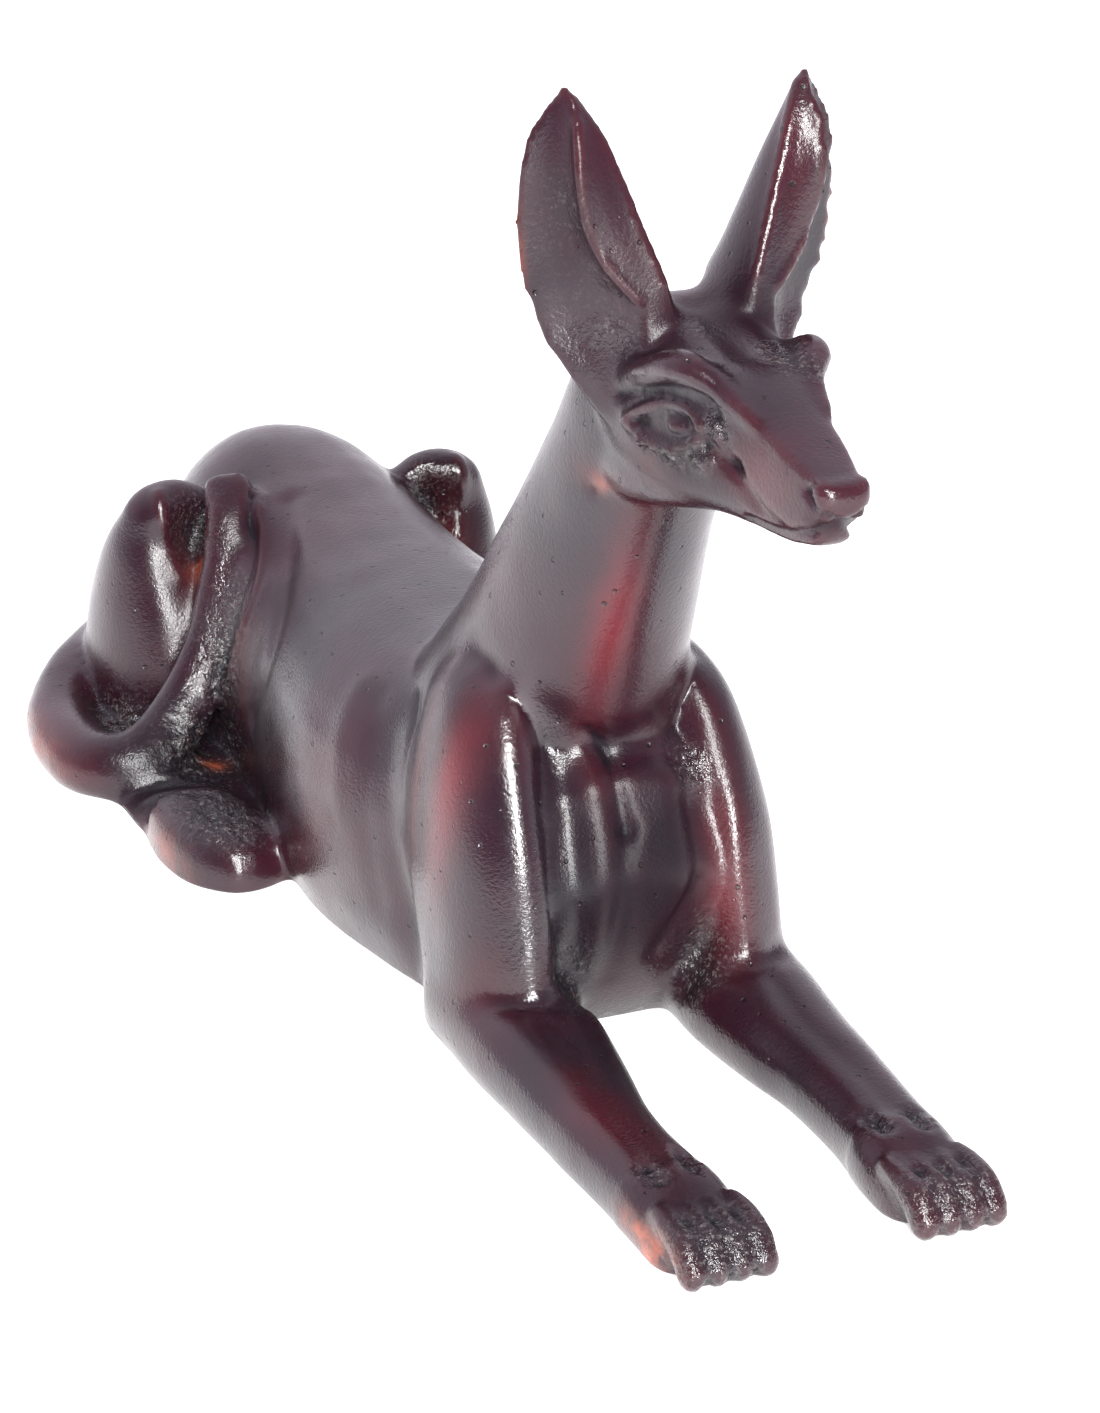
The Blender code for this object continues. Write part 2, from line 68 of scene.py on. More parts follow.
# Along the trunk: distance to the rear, middle height, half width, half height, squareness.
# A form's bluntness is how far its rounded end reaches, as a share of its smaller half size
TRUNK_BLUNTNESS = 0.25
TRUNK = (
    (-29.2, 5.6, 8.6, 11.0, 2.7),
    (-25.6, 7.4, 10.0, 14.2, 2.6),
    (-22.0, 8.6, 11.6, 16.4, 2.5),
    (-12.0, 8.3, 14.4, 17.0, 2.4),
    (3.0, 7.5, 16.2, 16.6, 2.45),
    (25.0, 7.5, 13.2, 16.9, 2.4),
    (42.0, 7.5, 13.2, 18.4, 2.3),
    (53.0, 7.5, 12.8, 18.8, 2.2),
    (62.0, 7.0, 10.4, 16.2, 2.1),
)

# Up the neck: distance to the rear, height, half width, half depth
NECK = (
    (-12.0, 18.0, 10.5, 12.0),
    (-18.5, 26.0, 9.0, 10.9),
    (-25.2, 36.5, 7.5, 9.1),
    (-30.6, 45.0, 6.4, 7.9),
    (-35.4, 52.0, 5.9, 7.2),
    (-39.5, 56.0, 5.0, 5.5),
)

# From the nape to the nose: distance to the rear, middle height, half width, half height, squareness
HEAD = (
    (-35.5, 55.5, 4.8, 5.0, 2.2),
    (-40.5, 54.3, 6.1, 6.6, 2.3),
    (-46.0, 54.0, 5.8, 6.3, 2.5),
    (-51.0, 53.9, 4.7, 5.4, 2.9),
    (-56.0, 53.1, 3.0, 4.2, 3.8),
    (-60.0, 52.5, 2.4, 3.3, 4.4),
    (-62.8, 52.3, 1.9, 2.6, 4.0),
)

HEAD_BLUNTNESS = 0.5
# The nose pad stands further forward than the chin
NOSE = (
    (-59.0, 53.6, 1.7, 1.3, 4.0),
    (-64.5, 53.2, 1.95, 1.4, 4.0),
)
# The back of the lower jaw, squarer than the skull above it
JAW = (
    (-37.8, 48.7, 5.3, 2.3, 3.2),
    (-41.0, 48.9, 5.5, 2.3, 3.4),
    (-46.0, 49.7, 4.7, 2.0, 3.4),
    (-51.0, 50.8, 3.4, 1.8, 3.4),
)

# Along the brow, from behind: place, radius
BROW = (
    (5.6, -42.5, 56.6, 0.7),
    (5.3, -46.4, 57.8, 1.2),
    (4.7, -50.2, 58.8, 1.4),
    (3.2, -53.2, 57.8, 0.9),
    (2.4, -56.5, 56.4, 0.5),
)
EYE_PLACE = (4.7, -49.9, 55.0)
EYE_SIZE = (1.1, 1.3, 0.9)

# Up the ear: height, then the front crest, the rim of the hollow, the outer edge and the back of
# the inner side, each as a distance from the middle and a distance to the rear
EAR = (
    (53.0, 3.4, -42.0, 4.6, -42.6, 6.8, -41.0, 4.6, -38.0),
    (56.0, 2.8, -43.2, 5.2, -44.2, 9.0, -39.9, 3.8, -36.8),
    (59.0, 2.6, -44.0, 5.1, -44.3, 10.7, -38.4, 3.0, -36.3),
    (61.5, 2.9, -44.4, 5.3, -43.8, 11.5, -38.4, 3.0, -36.4),
    (64.0, 3.7, -43.9, 7.2, -43.0, 12.1, -38.6, 4.2, -36.6),
    (67.0, 4.8, -43.0, 8.8, -42.7, 12.3, -38.5, 5.6, -36.8),
    (70.0, 5.8, -42.2, 9.2, -42.7, 12.1, -38.7, 7.0, -37.0),
    (73.0, 7.0, -41.2, 9.2, -42.2, 11.3, -38.8, 8.2, -37.8),
    (75.2, 8.3, -40.0, 9.0, -41.0, 9.9, -39.3, 8.5, -38.8),
    (76.2, 8.8, -39.7, 9.0, -40.1, 9.3, -39.6, 8.9, -39.3),
)
# How far the four faces between those edges bow out, as a share of their width
EAR_BOWS = (0.05, -0.2, 0.16, 0.14)

# Down the upper foreleg: distance from the middle, distance to the rear, height, half width,
# half depth
SHOULDER = (
    (7.8, -18.5, 25.0, 3.2, 6.4),
    (8.6, -20.7, 21.0, 4.0, 8.2),
    (9.4, -23.0, 14.0, 4.4, 9.4),
    (9.7, -25.0, 7.0, 4.3, 9.2),
    (9.7, -26.0, 1.0, 4.6, 8.8),
)

# Along the lower foreleg: distance from the middle, distance to the rear, height, half width,
# half height
FORELEG = (
    (9.5, -24.0, 2.2, 5.0, 4.4),
    (9.2, -34.0, 2.1, 5.4, 4.1),
    (9.3, -41.0, 1.8, 4.8, 3.7),
    (9.6, -48.0, 1.5, 4.0, 3.4),
    (9.4, -55.0, 1.3, 3.7, 3.3),
    (9.0, -60.0, 1.2, 3.9, 3.2),
    (8.9, -64.0, 0.6, 3.8, 2.9),
)

# Up the thigh: distance from the middle, distance to the rear, height, half width, half depth
THIGH = (
    (13.4, 49.5, -2.0, 7.8, 11.0),
    (13.6, 49.0, 7.0, 7.4, 10.6),
    (13.6, 48.0, 13.5, 6.6, 8.4),
    (13.5, 46.8, 18.0, 5.8, 5.8),
    (13.5, 45.9, 20.9, 4.8, 3.6),
)
# What the casting fills in at ground level: between foot and belly, and between tail and haunch
FOOT_WEB = (
    (17.4, 42.0, -1.4, 6.6, 3.8),
    (18.0, 30.0, -1.4, 6.8, 3.4),
    (17.6, 20.0, -1.4, 6.6, 3.4),
    (15.0, 12.0, -1.2, 6.0, 3.6),
)
TAIL_WEB = (
    (-15.0, 58.0, -1.0, 5.0, 3.4),
    (-20.0, 50.0, -1.0, 5.0, 3.4),
    (-20.0, 38.0, -1.0, 5.0, 3.4),
)
BUTTOCK_PLACE = (8.6, 53.4, 6.6)
BUTTOCK_SIZE = (10.9, 11.6, 14.2)

# Along the hind foot: distance from the middle, distance to the rear, height, half width, half height
HIND_FOOT = (
    (19.8, 19.4, 0.3, 4.5, 4.0),
    (19.8, 15.0, 0.3, 4.8, 4.2),
    (19.2, 10.8, 0.3, 4.7, 4.2),
    (17.8, 7.8, 0.2, 4.0, 3.8),
)

FOOT_BLUNTNESS = 0.6

# Along the tail: place, half width across the band, half thickness, squareness
TAIL = (
    (-4.0, 65.5, 6.0, 3.6, 3.4, 2.1),
    (-13.0, 62.0, 4.4, 3.4, 3.2, 2.1),
    (-20.2, 55.5, 3.2, 3.3, 3.1, 2.1),
    (-24.8, 47.0, 2.2, 3.3, 3.2, 2.1),
    (-26.0, 39.5, 2.0, 3.3, 3.2, 2.1),
    (-25.0, 33.4, 2.0, 3.3, 3.2, 2.1),
    (-21.8, 30.9, 2.6, 3.1, 2.9, 2.3),
    (-17.9, 32.4, 5.2, 2.9, 2.4, 2.6),
    (-13.9, 34.2, 10.4, 2.6, 2.1, 3.0),
    (-11.6, 35.4, 16.6, 2.4, 1.9, 3.4),
    (-9.9, 37.5, 22.2, 2.3, 1.7, 3.8),
    (-9.3, 41.0, 25.3, 2.3, 1.5, 4.0),
)
# Where the band at the tail's end faces
TAIL_FACE = (-0.3, -0.8, 0.52)
TAIL_BLUNTNESS = 0.35

# Across the paw: where its toes lie. Along a toe: distance behind the paw's front, height,
# half width, half height
TOE_PLACES = (-2.7, -0.9, 0.9, 2.6)
TOE = (
    (6.4, 3.0, 0.9, 0.9),
    (4.4, 3.0, 1.1, 1.0),
    (2.4, 2.4, 1.1, 1.4),
    (1.0, 1.1, 1.05, 1.3),
)
PAW_FRONT = -69.3

# How far the melted skin is evened out, in square units, and each point's share in it
EVENNESS = 3.6
BODY_SHARE = 0.5
EAR_SHARE = 0.06
FACE_SHARE = 0.12
PAW_SHARE = 0.05
EAR_FOOT = 62.0
FACE_FOOT = 46.0
FACE_BACK = -44.0
WRIST = -58.0

# Carved lines on both sides: width, height above the skin (a groove where negative), then the
# points it runs through, given for the figure's left side
PAIRED_STROKES = (
    # fold round the eye, below the brow
    (0.5, -0.4, (6.2, -42.5, 55.2), (5.6, -45.5, 56.4), (5.5, -50.5, 57.4),
     (4.4, -53.0, 57.0), (3.5, -54.0, 54.8)),
    # upper and lower eyelid
    (0.5, 0.4, (6.0, -43.7, 53.7), (6.0, -46.0, 55.0), (5.4, -48.1, 55.9), (4.7, -50.8, 56.2),
     (4.3, -52.0, 55.4)),
    (0.5, 0.4, (6.0, -43.7, 53.7), (5.8, -46.7, 53.1), (5.4, -48.9, 53.3), (4.7, -51.2, 54.0),
     (4.3, -52.0, 55.4)),
    # tear groove and cheek
    (0.7, -0.5, (4.3, -52.4, 54.4), (3.9, -53.0, 53.8), (3.1, -54.8, 53.2)),
    (0.6, -0.3, (3.1, -54.8, 53.3), (2.5, -56.2, 52.0), (2.4, -57.8, 50.9), (2.1, -59.8, 50.4)),
    # mouth
    (0.4, -0.35, (2.4, -55.6, 49.7), (2.1, -58.5, 49.7), (2.0, -60.8, 50.1),
     (1.5, -62.9, 50.8), (0.3, -64.3, 51.6)),
    # lower edge of the jaw
    (0.6, -0.45, (5.7, -36.2, 46.3), (5.4, -38.6, 45.9), (4.2, -41.6, 46.0), (2.4, -44.0, 46.6)),
    # crease behind the nose pad
    (0.4, -0.3, (1.8, -62.8, 53.8), (1.6, -63.6, 53.0), (1.2, -64.6, 52.5), (0.2, -64.6, 51.8)),
    # edge of the muzzle's flat top
    (0.6, 0.3, (3.2, -53.6, 57.6), (2.7, -57.0, 56.6), (2.3, -60.0, 55.6), (1.8, -64.0, 54.4)),
    # ear: front crest and rim of the hollow
    (0.5, 0.3, (8.4, -39.8, 75.0), (6.3, -41.9, 71.2), (4.9, -43.0, 67.1), (3.4, -44.2, 63.2)),
    (0.45, 0.25, (8.9, -41.6, 74.2), (9.1, -42.6, 70.0), (8.7, -42.8, 66.6), (7.2, -43.1, 64.2),
     (5.2, -43.7, 62.0)),
    # fold where the neck enters the breast
    (1.9, -0.4, (9.0, -21.5, 29.0), (5.0, -27.5, 26.6), (2.2, -28.9, 24.3), (0.0, -28.9, 23.8)),
    # hollow between breast and upper foreleg
    (1.5, -0.7, (5.0, -30.0, 22.0), (5.2, -33.0, 15.0), (4.9, -33.2, 9.0), (4.6, -32.8, 4.0)),
    # rounded ridge down the front of the upper foreleg
    (1.8, 0.9, (7.2, -25.8, 27.4), (8.3, -28.8, 22.6), (8.6, -31.5, 17.5), (8.5, -33.2, 11.2),
     (8.8, -34.2, 7.0)),
    # bend of the elbow
    (1.0, -0.3, (13.0, -33.8, 6.6), (8.9, -36.0, 6.2), (5.4, -35.0, 5.6)),
    # groove along the lower foreleg
    (1.1, -0.35, (9.4, -38.0, 5.6), (9.0, -44.0, 5.3), (9.5, -51.0, 4.9), (9.4, -57.4, 4.6)),
    # wrist
    (0.8, -0.7, (10.6, -58.2, 4.4), (10.4, -60.0, 4.2)),
    (0.8, -0.7, (7.2, -57.4, 4.2), (7.5, -59.4, 4.2)),
    # between the toes
    (0.5, -0.25, (7.1, -64.9, 3.7), (7.1, -66.6, 3.0), (7.1, -69.2, 0.4)),
    (0.5, -0.25, (8.9, -64.9, 3.7), (8.9, -66.6, 3.1), (8.9, -69.4, 0.4)),
    (0.5, -0.25, (10.7, -64.9, 3.7), (10.7, -66.6, 3.0), (10.7, -69.2, 0.4)),
    # behind the shoulder
    (2.6, -0.7, (12.3, -10.5, 18.8), (13.0, -13.0, 14.4), (13.2, -15.8, 8.7), (13.6, -20.0, 2.0)),
    # inner edge of the knee
    (0.9, 0.5, (15.0, 44.0, 24.0), (14.9, 42.0, 20.5), (13.8, 41.0, 16.5)),
)
SINGLE_STROKES = (
    # lower edge of the right breast, and the groove below it
    (0.8, -0.55, (-2.4, -28.6, 25.0), (-1.1, -28.7, 22.6), (-1.2, -31.0, 21.0), (-1.0, -32.9, 18.0)),
    (0.9, -0.45, (-0.9, -32.9, 18.0), (-1.6, -33.5, 15.0), (-1.8, -33.5, 10.0), (-1.8, -32.0, 4.8)),
    # left breast and the groove below it
    (2.2, 0.4, (5.4, -29.4, 21.4), (3.4, -31.8, 19.6)),
    (1.0, -0.5, (4.6, -32.9, 12.8), (3.2, -33.1, 9.6), (2.1, -32.4, 6.8)),
    # skull
    (1.6, -0.5, (0.0, -42.0, 61.2), (0.0, -50.0, 60.0)),
    # fold in front of the tail, and the grooves on its two sides
    (0.55, 0.6, (-6.8, 38.6, 24.4), (-9.7, 30.4, 21.0), (-11.8, 28.0, 17.6),
     (-13.0, 28.8, 12.0), (-13.4, 30.6, 8.9)),
    (0.7, -0.6, (-7.6, 38.1, 24.2), (-10.2, 32.4, 20.7), (-12.0, 31.0, 17.3),
     (-13.0, 31.4, 12.3), (-13.9, 31.6, 8.4)),
    (1.4, -0.4, (-4.9, 35.9, 24.4), (-8.7, 25.5, 21.4), (-11.2, 20.2, 18.7),
     (-13.2, 18.1, 15.0), (-13.5, 21.8, 8.9)),
)
# Hollows on both sides: middle, reach along each axis, shift of the skin at the middle
HOLLOWS = (
    # scoop between knee and rump
    ((11.4, 42.0, 19.0), (2.6, 4.0, 4.2), (0.0, 2.6, -0.3)),
    # bowl of the ear
    ((10.8, -41.6, 64.0), (2.0, 2.0, 4.6), (-0.9, 0.9, 0.0)),
)

# Triangles of the dressed skin before it is cut at the ground
SKIN_TRIANGLES = 205000
# Slow unevenness of the worked skin, in units
WAVE_LENGTH = 5.0
WAVE_HEIGHT = 0.09
# Grain of rough places: how quickly its finer layers weaken, how much finer each is, their number,
# and the share of a place below which there is none
GRAIN_FADE = 0.6
GRAIN_FINENESS = 2.1
GRAIN_LAYERS = 5
GRAIN_EDGE = 0.03
# Rounds of smoothing that find narrow creases and broad hollows, and each point's share in them
CREASE_ROUNDS = 14
HOLLOW_ROUNDS = 150
HOLLOW_SHARE = 0.5

# Fine lines on both sides: width, height, points on the figure's left side
FINE_PAIRED_STROKES = (
    # rims of the eyelids and the slit between them
    (0.3, 0.25, (6.0, -43.7, 53.8), (6.0, -46.0, 55.1), (5.4, -48.1, 56.0),
     (4.7, -50.8, 56.3), (4.2, -52.2, 55.4)),
    (0.3, 0.25, (6.0, -43.7, 53.6), (5.8, -46.7, 53.0), (5.4, -48.9, 53.2),
     (4.7, -51.2, 54.0), (4.2, -52.2, 55.4)),
    (0.3, -0.3, (6.0, -45.2, 54.1), (5.8, -47.6, 54.9), (5.4, -49.4, 55.9),
     (4.9, -51.2, 55.6), (4.6, -51.9, 55.0)),
    (0.3, -0.3, (6.0, -45.2, 54.1), (5.8, -47.6, 54.0), (5.5, -49.6, 54.1),
     (5.0, -51.2, 54.5), (4.6, -51.9, 55.0)),
    # second fold below the brow
    (0.3, -0.2, (6.4, -44.0, 56.6), (6.2, -47.0, 57.6), (5.6, -51.0, 58.2), (4.6, -53.4, 57.4)),
    (0.28, -0.16, (6.3, -45.4, 55.6), (6.1, -47.6, 56.9), (5.4, -50.8, 57.4), (4.4, -52.8, 56.6)),
    # mouth
    (0.3, -0.32, (2.4, -56.2, 49.8), (2.1, -58.5, 49.8), (2.0, -60.8, 50.2),
     (1.5, -62.9, 50.9), (0.3, -64.3, 51.7)),
    # crease behind the nose pad
    (0.25, -0.18, (1.8, -62.8, 53.8), (1.6, -63.6, 53.0), (1.2, -64.6, 52.5), (0.2, -64.6, 51.8)),
    # raised rim of the ear's hollow
    (0.26, 0.16, (9.0, -42.2, 72.0), (9.1, -42.6, 70.0), (8.7, -42.8, 66.6),
     (7.2, -43.1, 64.2), (5.2, -43.7, 62.0)),
    # between the toes
    (0.3, -0.3, (7.2, -65.2, 3.6), (7.0, -67.2, 2.8), (7.1, -69.2, 0.4)),
    (0.3, -0.3, (8.8, -65.6, 3.7), (8.9, -67.4, 2.9), (9.0, -69.4, 0.4)),
    (0.3, -0.3, (10.6, -65.2, 3.4), (10.8, -67.2, 2.8), (10.6, -69.2, 0.4)),
)
# Wrinkles of the web between foot, haunch and belly, then soft folds behind the right shoulder
FINE_SINGLE_STROKES = (
    (0.5, 0.4, (-23.0, 29.0, 1.6), (-19.5, 27.5, 2.4), (-15.5, 27.0, 3.2)),
    (0.5, 0.35, (-23.4, 25.5, 1.6), (-19.5, 24.4, 2.2), (-15.2, 23.6, 3.0)),
    (0.4, -0.3, (-23.2, 27.2, 1.6), (-19.5, 26.0, 2.3), (-15.4, 25.4, 3.1)),
    (1.6, -0.22, (-11.4, -6.4, 20.6), (-12.8, -8.6, 17.0), (-13.9, -10.4, 12.6), (-14.2, -13.0, 6.0)),
    (1.5, 0.2, (-11.6, -2.6, 20.4), (-13.4, -4.4, 16.4), (-14.4, -6.6, 11.6)),
    (0.5, -0.18, (-9.6, -11.0, 22.6), (-10.9, -13.2, 20.2), (-11.9, -15.0, 16.6)),
)
# Places left rough by the mould, on both sides: middle, reach, height of the grains, their size
ROUGH_PLACES = (
    # below the eye, from its outer corner to the tear duct
    ((6.0, -46.2, 52.8), (1.2, 1.0, 0.6), 0.5, 0.7),
    ((5.4, -49.0, 52.5), (1.2, 1.4, 0.6), 0.6, 0.8),
    ((4.5, -52.0, 53.2), (1.3, 1.2, 0.9), 0.8, 0.9),
    ((3.6, -53.2, 55.6), (0.9, 0.9, 0.9), 0.5, 0.7),
    # foot of the ear's hollow, and the bowl above it
    ((9.6, -42.4, 60.8), (2.4, 2.2, 3.2), 0.3, 0.9),
    ((7.6, -42.6, 59.4), (2.0, 2.0, 1.6), 0.25, 0.8),
    ((10.6, -42.0, 66.0), (1.6, 2.0, 3.6), 0.12, 0.7),
    # behind the tail's end, and the scoop beside the knee
    ((13.0, 30.6, 12.0), (2.2, 3.2, 5.0), 0.3, 1.2),
    ((11.4, 41.5, 20.0), (2.4, 4.0, 3.6), 0.3, 1.2),
    # web beside the belly
    ((15.5, 30.0, 3.8), (4.0, 5.0, 3.0), 0.5, 1.6),
    ((20.5, 38.0, 3.0), (3.4, 8.0, 2.2), 0.35, 1.4),
    # top of the hind foot
    ((19.4, 12.5, 4.3), (3.4, 7.0, 1.1), 0.5, 1.5),
    # elbow, wrist and toes
    ((5.0, -33.4, 5.0), (2.0, 2.0, 3.0), 0.15, 0.9),
    ((10.5, -59.2, 4.2), (1.0, 1.4, 1.0), 0.25, 0.9),
    ((7.4, -58.6, 4.0), (0.9, 1.4, 1.0), 0.25, 0.9),
    ((8.9, -67.0, 2.4), (4.0, 2.6, 2.4), 0.12, 0.8),
)
# Dents along the rim of the left ear: place, reach, depth. They reach further from front to back
CHIP_STRETCH = (1, 2, 1)
EAR_CHIPS = (
    ((12.2, -38.7, 69.6), 0.55, 0.5),
    ((12.4, -38.6, 67.4), 0.45, 0.45),
    ((12.4, -38.6, 66.0), 0.6, 0.6),
    ((12.2, -38.5, 64.2), 0.5, 0.5),
    ((12.0, -38.4, 62.8), 0.6, 0.65),
    ((11.3, -38.4, 61.0), 0.5, 0.5),
    ((10.6, -38.8, 59.4), 0.6, 0.5),
)
# Painted glow: orange-red colour where light would come through thin or deep places, on both sides:
# middle, reach, strength
GLOW_PLACES = (
    # outer edge and foot of the ear, corner of the jaw
    ((12.4, -38.4, 62.5), (0.6, 1.0, 4.0), 0.6),
    ((7.2, -38.2, 54.6), (0.8, 0.7, 2.4), 0.3),
    ((5.5, -37.6, 46.9), (1.0, 1.3, 0.7), 0.4),
    # outer edges of paw, hind foot and tail
    ((12.9, -64.0, 1.2), (0.6, 3.4, 1.4), 1.0),
    ((24.2, 15.0, 1.0), (1.2, 5.0, 1.6), 0.35),
    ((29.4, 42.0, 2.0), (1.6, 8.0, 2.4), 0.3),
    # scoop beside the knee, and web
    ((11.8, 40.6, 17.6), (1.2, 1.6, 1.6), 0.7),
    ((14.6, 29.8, 2.2), (1.0, 1.0, 1.0), 0.6),
)
# Redder zones of the casting: middle, reach, strength
RED_PLACES = (
    # neck and right shoulder
    ((-2.6, -34.5, 38.0), (1.5, 8.0, 12.0), 1.0),
    ((-12.2, -25.4, 20.0), (4.0, 2.4, 8.0), 1.0),
    ((-12.6, -19.6, 19.0), (4.0, 1.4, 8.0), 0.5),
    # jaw, muzzle, cheek and left ear
    ((-5.0, -38.0, 47.6), (2.0, 4.0, 1.2), 0.6),
    ((-4.4, -54.0, 53.4), (2.4, 4.0, 1.8), 0.3),
    ((-3.0, -57.5, 53.0), (2.4, 4.5, 2.6), 0.35),
    ((-5.5, -47.0, 51.0), (2.4, 4.0, 2.0), 0.25),
    ((6.8, -42.4, 69.0), (1.6, 2.0, 6.0), 0.2),
    # forelegs
    ((-12.5, -33.0, 6.0), (3.0, 6.0, 5.0), 0.5),
    ((-10.5, -50.0, 4.0), (2.5, 9.0, 3.0), 0.4),
    ((7.4, -33.0, 14.0), (1.6, 3.0, 8.0), 0.8),
    # flank, knees and tail
    ((-14.5, -2.0, 8.0), (3.0, 7.0, 8.0), 0.4),
    ((-14.0, 27.0, 14.0), (2.2, 3.0, 6.0), 0.5),
    ((-12.2, 40.8, 19.0), (2.0, 3.0, 4.0), 0.7),
    ((12.0, 40.0, 16.0), (3.0, 5.0, 6.0), 0.7),
    ((-27.5, 40.0, 2.0), (3.0, 9.0, 2.6), 0.6),
)
# Places of silvery worn skin: middle, reach, strength
SILVER_PLACES = (
    # forehead, left of the middle
    ((2.3, -50.6, 59.2), (1.3, 2.4, 1.6), 1.0),
    ((3.4, -52.8, 58.4), (0.8, 1.4, 1.2), 0.8),
    # between the ears
    ((-1.2, -45.2, 60.0), (1.4, 1.4, 1.4), 0.5),
    # left breast and left elbow
    ((5.7, -29.8, 20.9), (1.6, 1.6, 1.6), 0.7),
    ((6.2, -33.0, 7.0), (1.6, 2.0, 2.6), 0.6),
    # end of the tail
    ((-11.8, 31.4, 17.0), (1.6, 3.0, 4.0), 0.7),
)
# Places of painted shade, painted darker and made duller: middle, reach, strength
PAINTED_SHADE_PLACES = (
    # skull, nose and right cheek
    ((0.0, -44.5, 60.5), (7.0, 4.0, 2.6), 0.9),
    ((0.0, -63.8, 51.8), (2.6, 1.6, 1.4), 0.8),
    ((-5.0, -50.0, 52.6), (2.4, 8.0, 3.6), 0.7),
    # right ear, its bowl and its foot
    ((-10.6, -41.5, 65.0), (4.0, 3.5, 10.0), 1.0),
    ((-7.0, -42.0, 70.0), (2.0, 2.2, 6.0), 0.6),
    ((-5.0, -43.0, 64.0), (2.0, 2.2, 4.0), 0.8),
    ((-8.6, -42.0, 62.0), (4.0, 2.6, 5.0), 0.6),
    ((-9.0, -42.0, 60.5), (3.0, 3.0, 3.5), 0.7),
    # left ear
    ((10.6, -41.6, 71.5), (2.0, 2.2, 5.0), 1.0),
    ((5.0, -42.6, 60.0), (5.0, 3.0, 4.0), 0.6),
    # breast and upper forelegs
    ((3.0, -31.0, 25.0), (6.0, 4.0, 2.6), 0.6),
    ((5.0, -31.0, 19.0), (2.5, 3.0, 5.0), 0.5),
    ((0.0, -33.0, 14.0), (7.0, 4.5, 14.0), 1.0),
    ((4.0, -32.5, 6.0), (6.0, 3.0, 6.0), 0.6),
    ((-4.5, -32.5, 6.0), (3.0, 3.0, 6.0), 0.8),
    ((-10.4, -25.0, 24.0), (2.0, 4.0, 4.0), 0.6),
    ((9.0, -29.0, 20.0), (3.0, 4.0, 8.0), 0.6),
    # lower forelegs and paws
    ((8.5, -45.0, 4.5), (3.0, 14.0, 3.0), 0.7),
    ((-7.0, -46.0, 4.0), (2.0, 12.0, 3.0), 0.6),
    ((-9.0, -64.0, 4.0), (4.0, 6.0, 2.5), 0.8),
    ((9.0, -64.0, 4.0), (4.0, 6.0, 2.5), 0.8),
    # round the tail's end and in the scoop beside the right knee
    ((-12.5, 30.0, 14.0), (3.0, 5.0, 9.0), 0.9),
    ((-9.0, 33.0, 22.0), (3.0, 6.0, 4.0), 0.8),
    ((-6.0, 45.0, 24.0), (6.0, 6.0, 4.0), 0.5),
    ((-12.5, 43.0, 15.0), (3.0, 4.0, 6.0), 0.9),
    # right flank, web, hind foot and inner side of the tail's loop
    ((-11.0, 22.0, 21.0), (3.0, 6.0, 4.0), 0.6),
    ((-13.5, 20.0, 8.0), (3.0, 7.0, 7.0), 0.7),
    ((-19.0, 32.0, 3.5), (5.0, 11.0, 3.5), 0.9),
    ((-19.4, 12.5, 4.3), (5.0, 8.0, 1.6), 0.9),
    ((-24.0, 47.0, 6.5), (4.0, 8.0, 2.4), 0.6),
    # rump
    ((0.0, 66.0, 10.0), (16.0, 4.0, 10.0), 0.3),
)
# Places that hands have polished: middle, reach, strength
POLISHED_PLACES = (
    # ridges down the upper forelegs
    ((-7.6, -27.4, 25.0), (2.4, 3.0, 4.0), 1.0),
    ((-8.4, -30.6, 18.0), (2.0, 3.0, 6.0), 1.0),
    ((-8.6, -33.4, 9.0), (1.8, 2.4, 5.0), 0.8),
    ((8.6, -32.6, 12.0), (1.6, 3.0, 9.0), 0.6),
    # front of the tail's end, and right brow
    ((-11.6, 33.4, 16.4), (2.2, 4.0, 5.0), 0.8),
    ((-4.9, -46.6, 58.8), (1.4, 1.6, 1.2), 0.8),
)

# Noise in the resin: repeats in a metre, layers of detail, weight of each finer layer
CLOUD = (55.0, 3.0, 0.55)
FINE_CLOUD = (420.0, 4.0, 0.55)
SPECKLE = (2600.0, 2.0, 0.7)
FINE_GRAIN = (3300.0, 2.0, 0.7)
COARSE_GRAIN = (1300.0, 3.0, 0.7)
# File marks repeat along three axes of their own
FILE_MARK = (1.0, 2.0, 0.55)
FILE_MARK_TURN = (0.2, 0.1, 0.35)
FILE_MARK_SCALE = (260.0, 2600.0, 260.0)
# Pinholes, as repeats in a metre
PIT_SCALE = 500.0
# Which values of depth, cloud, speckle and distance are carried to 0 and to 1
CREASE_SPAN = (0.03, 0.22)
EDGE_SPAN = (-0.05, -0.25)
HOLLOW_SPAN = (0.15, 1.1)
PAINTED_SHADE_SPAN = (0.75, 0.35)
RED_SPAN = (0.15, 0.6)
DUST_SPAN = (0.54, 0.68)
PIT_SPAN = (0.12, 0.08)
GLOW_SPAN = (0.3, 0.55)
# The body's two colours with their places among the clouds
BODY_COLOURS = ((0.34, (0.009, 0.005, 0.009)), (0.66, (0.022, 0.004, 0.009)))
# Layers of colour over the body, the lowest first: mask, strength, colour
COLOUR_LAYERS = (
    ("red", 1.0, (0.12, 0.010, 0.015, 1.0)),
    ("edge", 0.3, (0.06, 0.009, 0.013, 1.0)),
    # dark: darker creases and hollows, and painted shade in the places listed for it
    ("dark", 0.85, (0.006, 0.005, 0.007, 1.0)),
    ("worn", 0.6, (0.010, 0.009, 0.011, 1.0)),
    ("dust", 0.5, (0.26, 0.24, 0.23, 1.0)),
    ("pits", 0.8, (0.006, 0.004, 0.005, 1.0)),
    # glow: painted glow of light coming through thin places
    ("glow", 1.0, (0.55, 0.12, 0.05, 1.0)),
)
# Values that are the same all over the resin
RESIN_VALUES = {
    "Subsurface Weight": 0.12,
    "Subsurface Radius": (1.0, 0.14, 0.08),
    "Subsurface Scale": 0.0035,
    "IOR": 1.55,
}
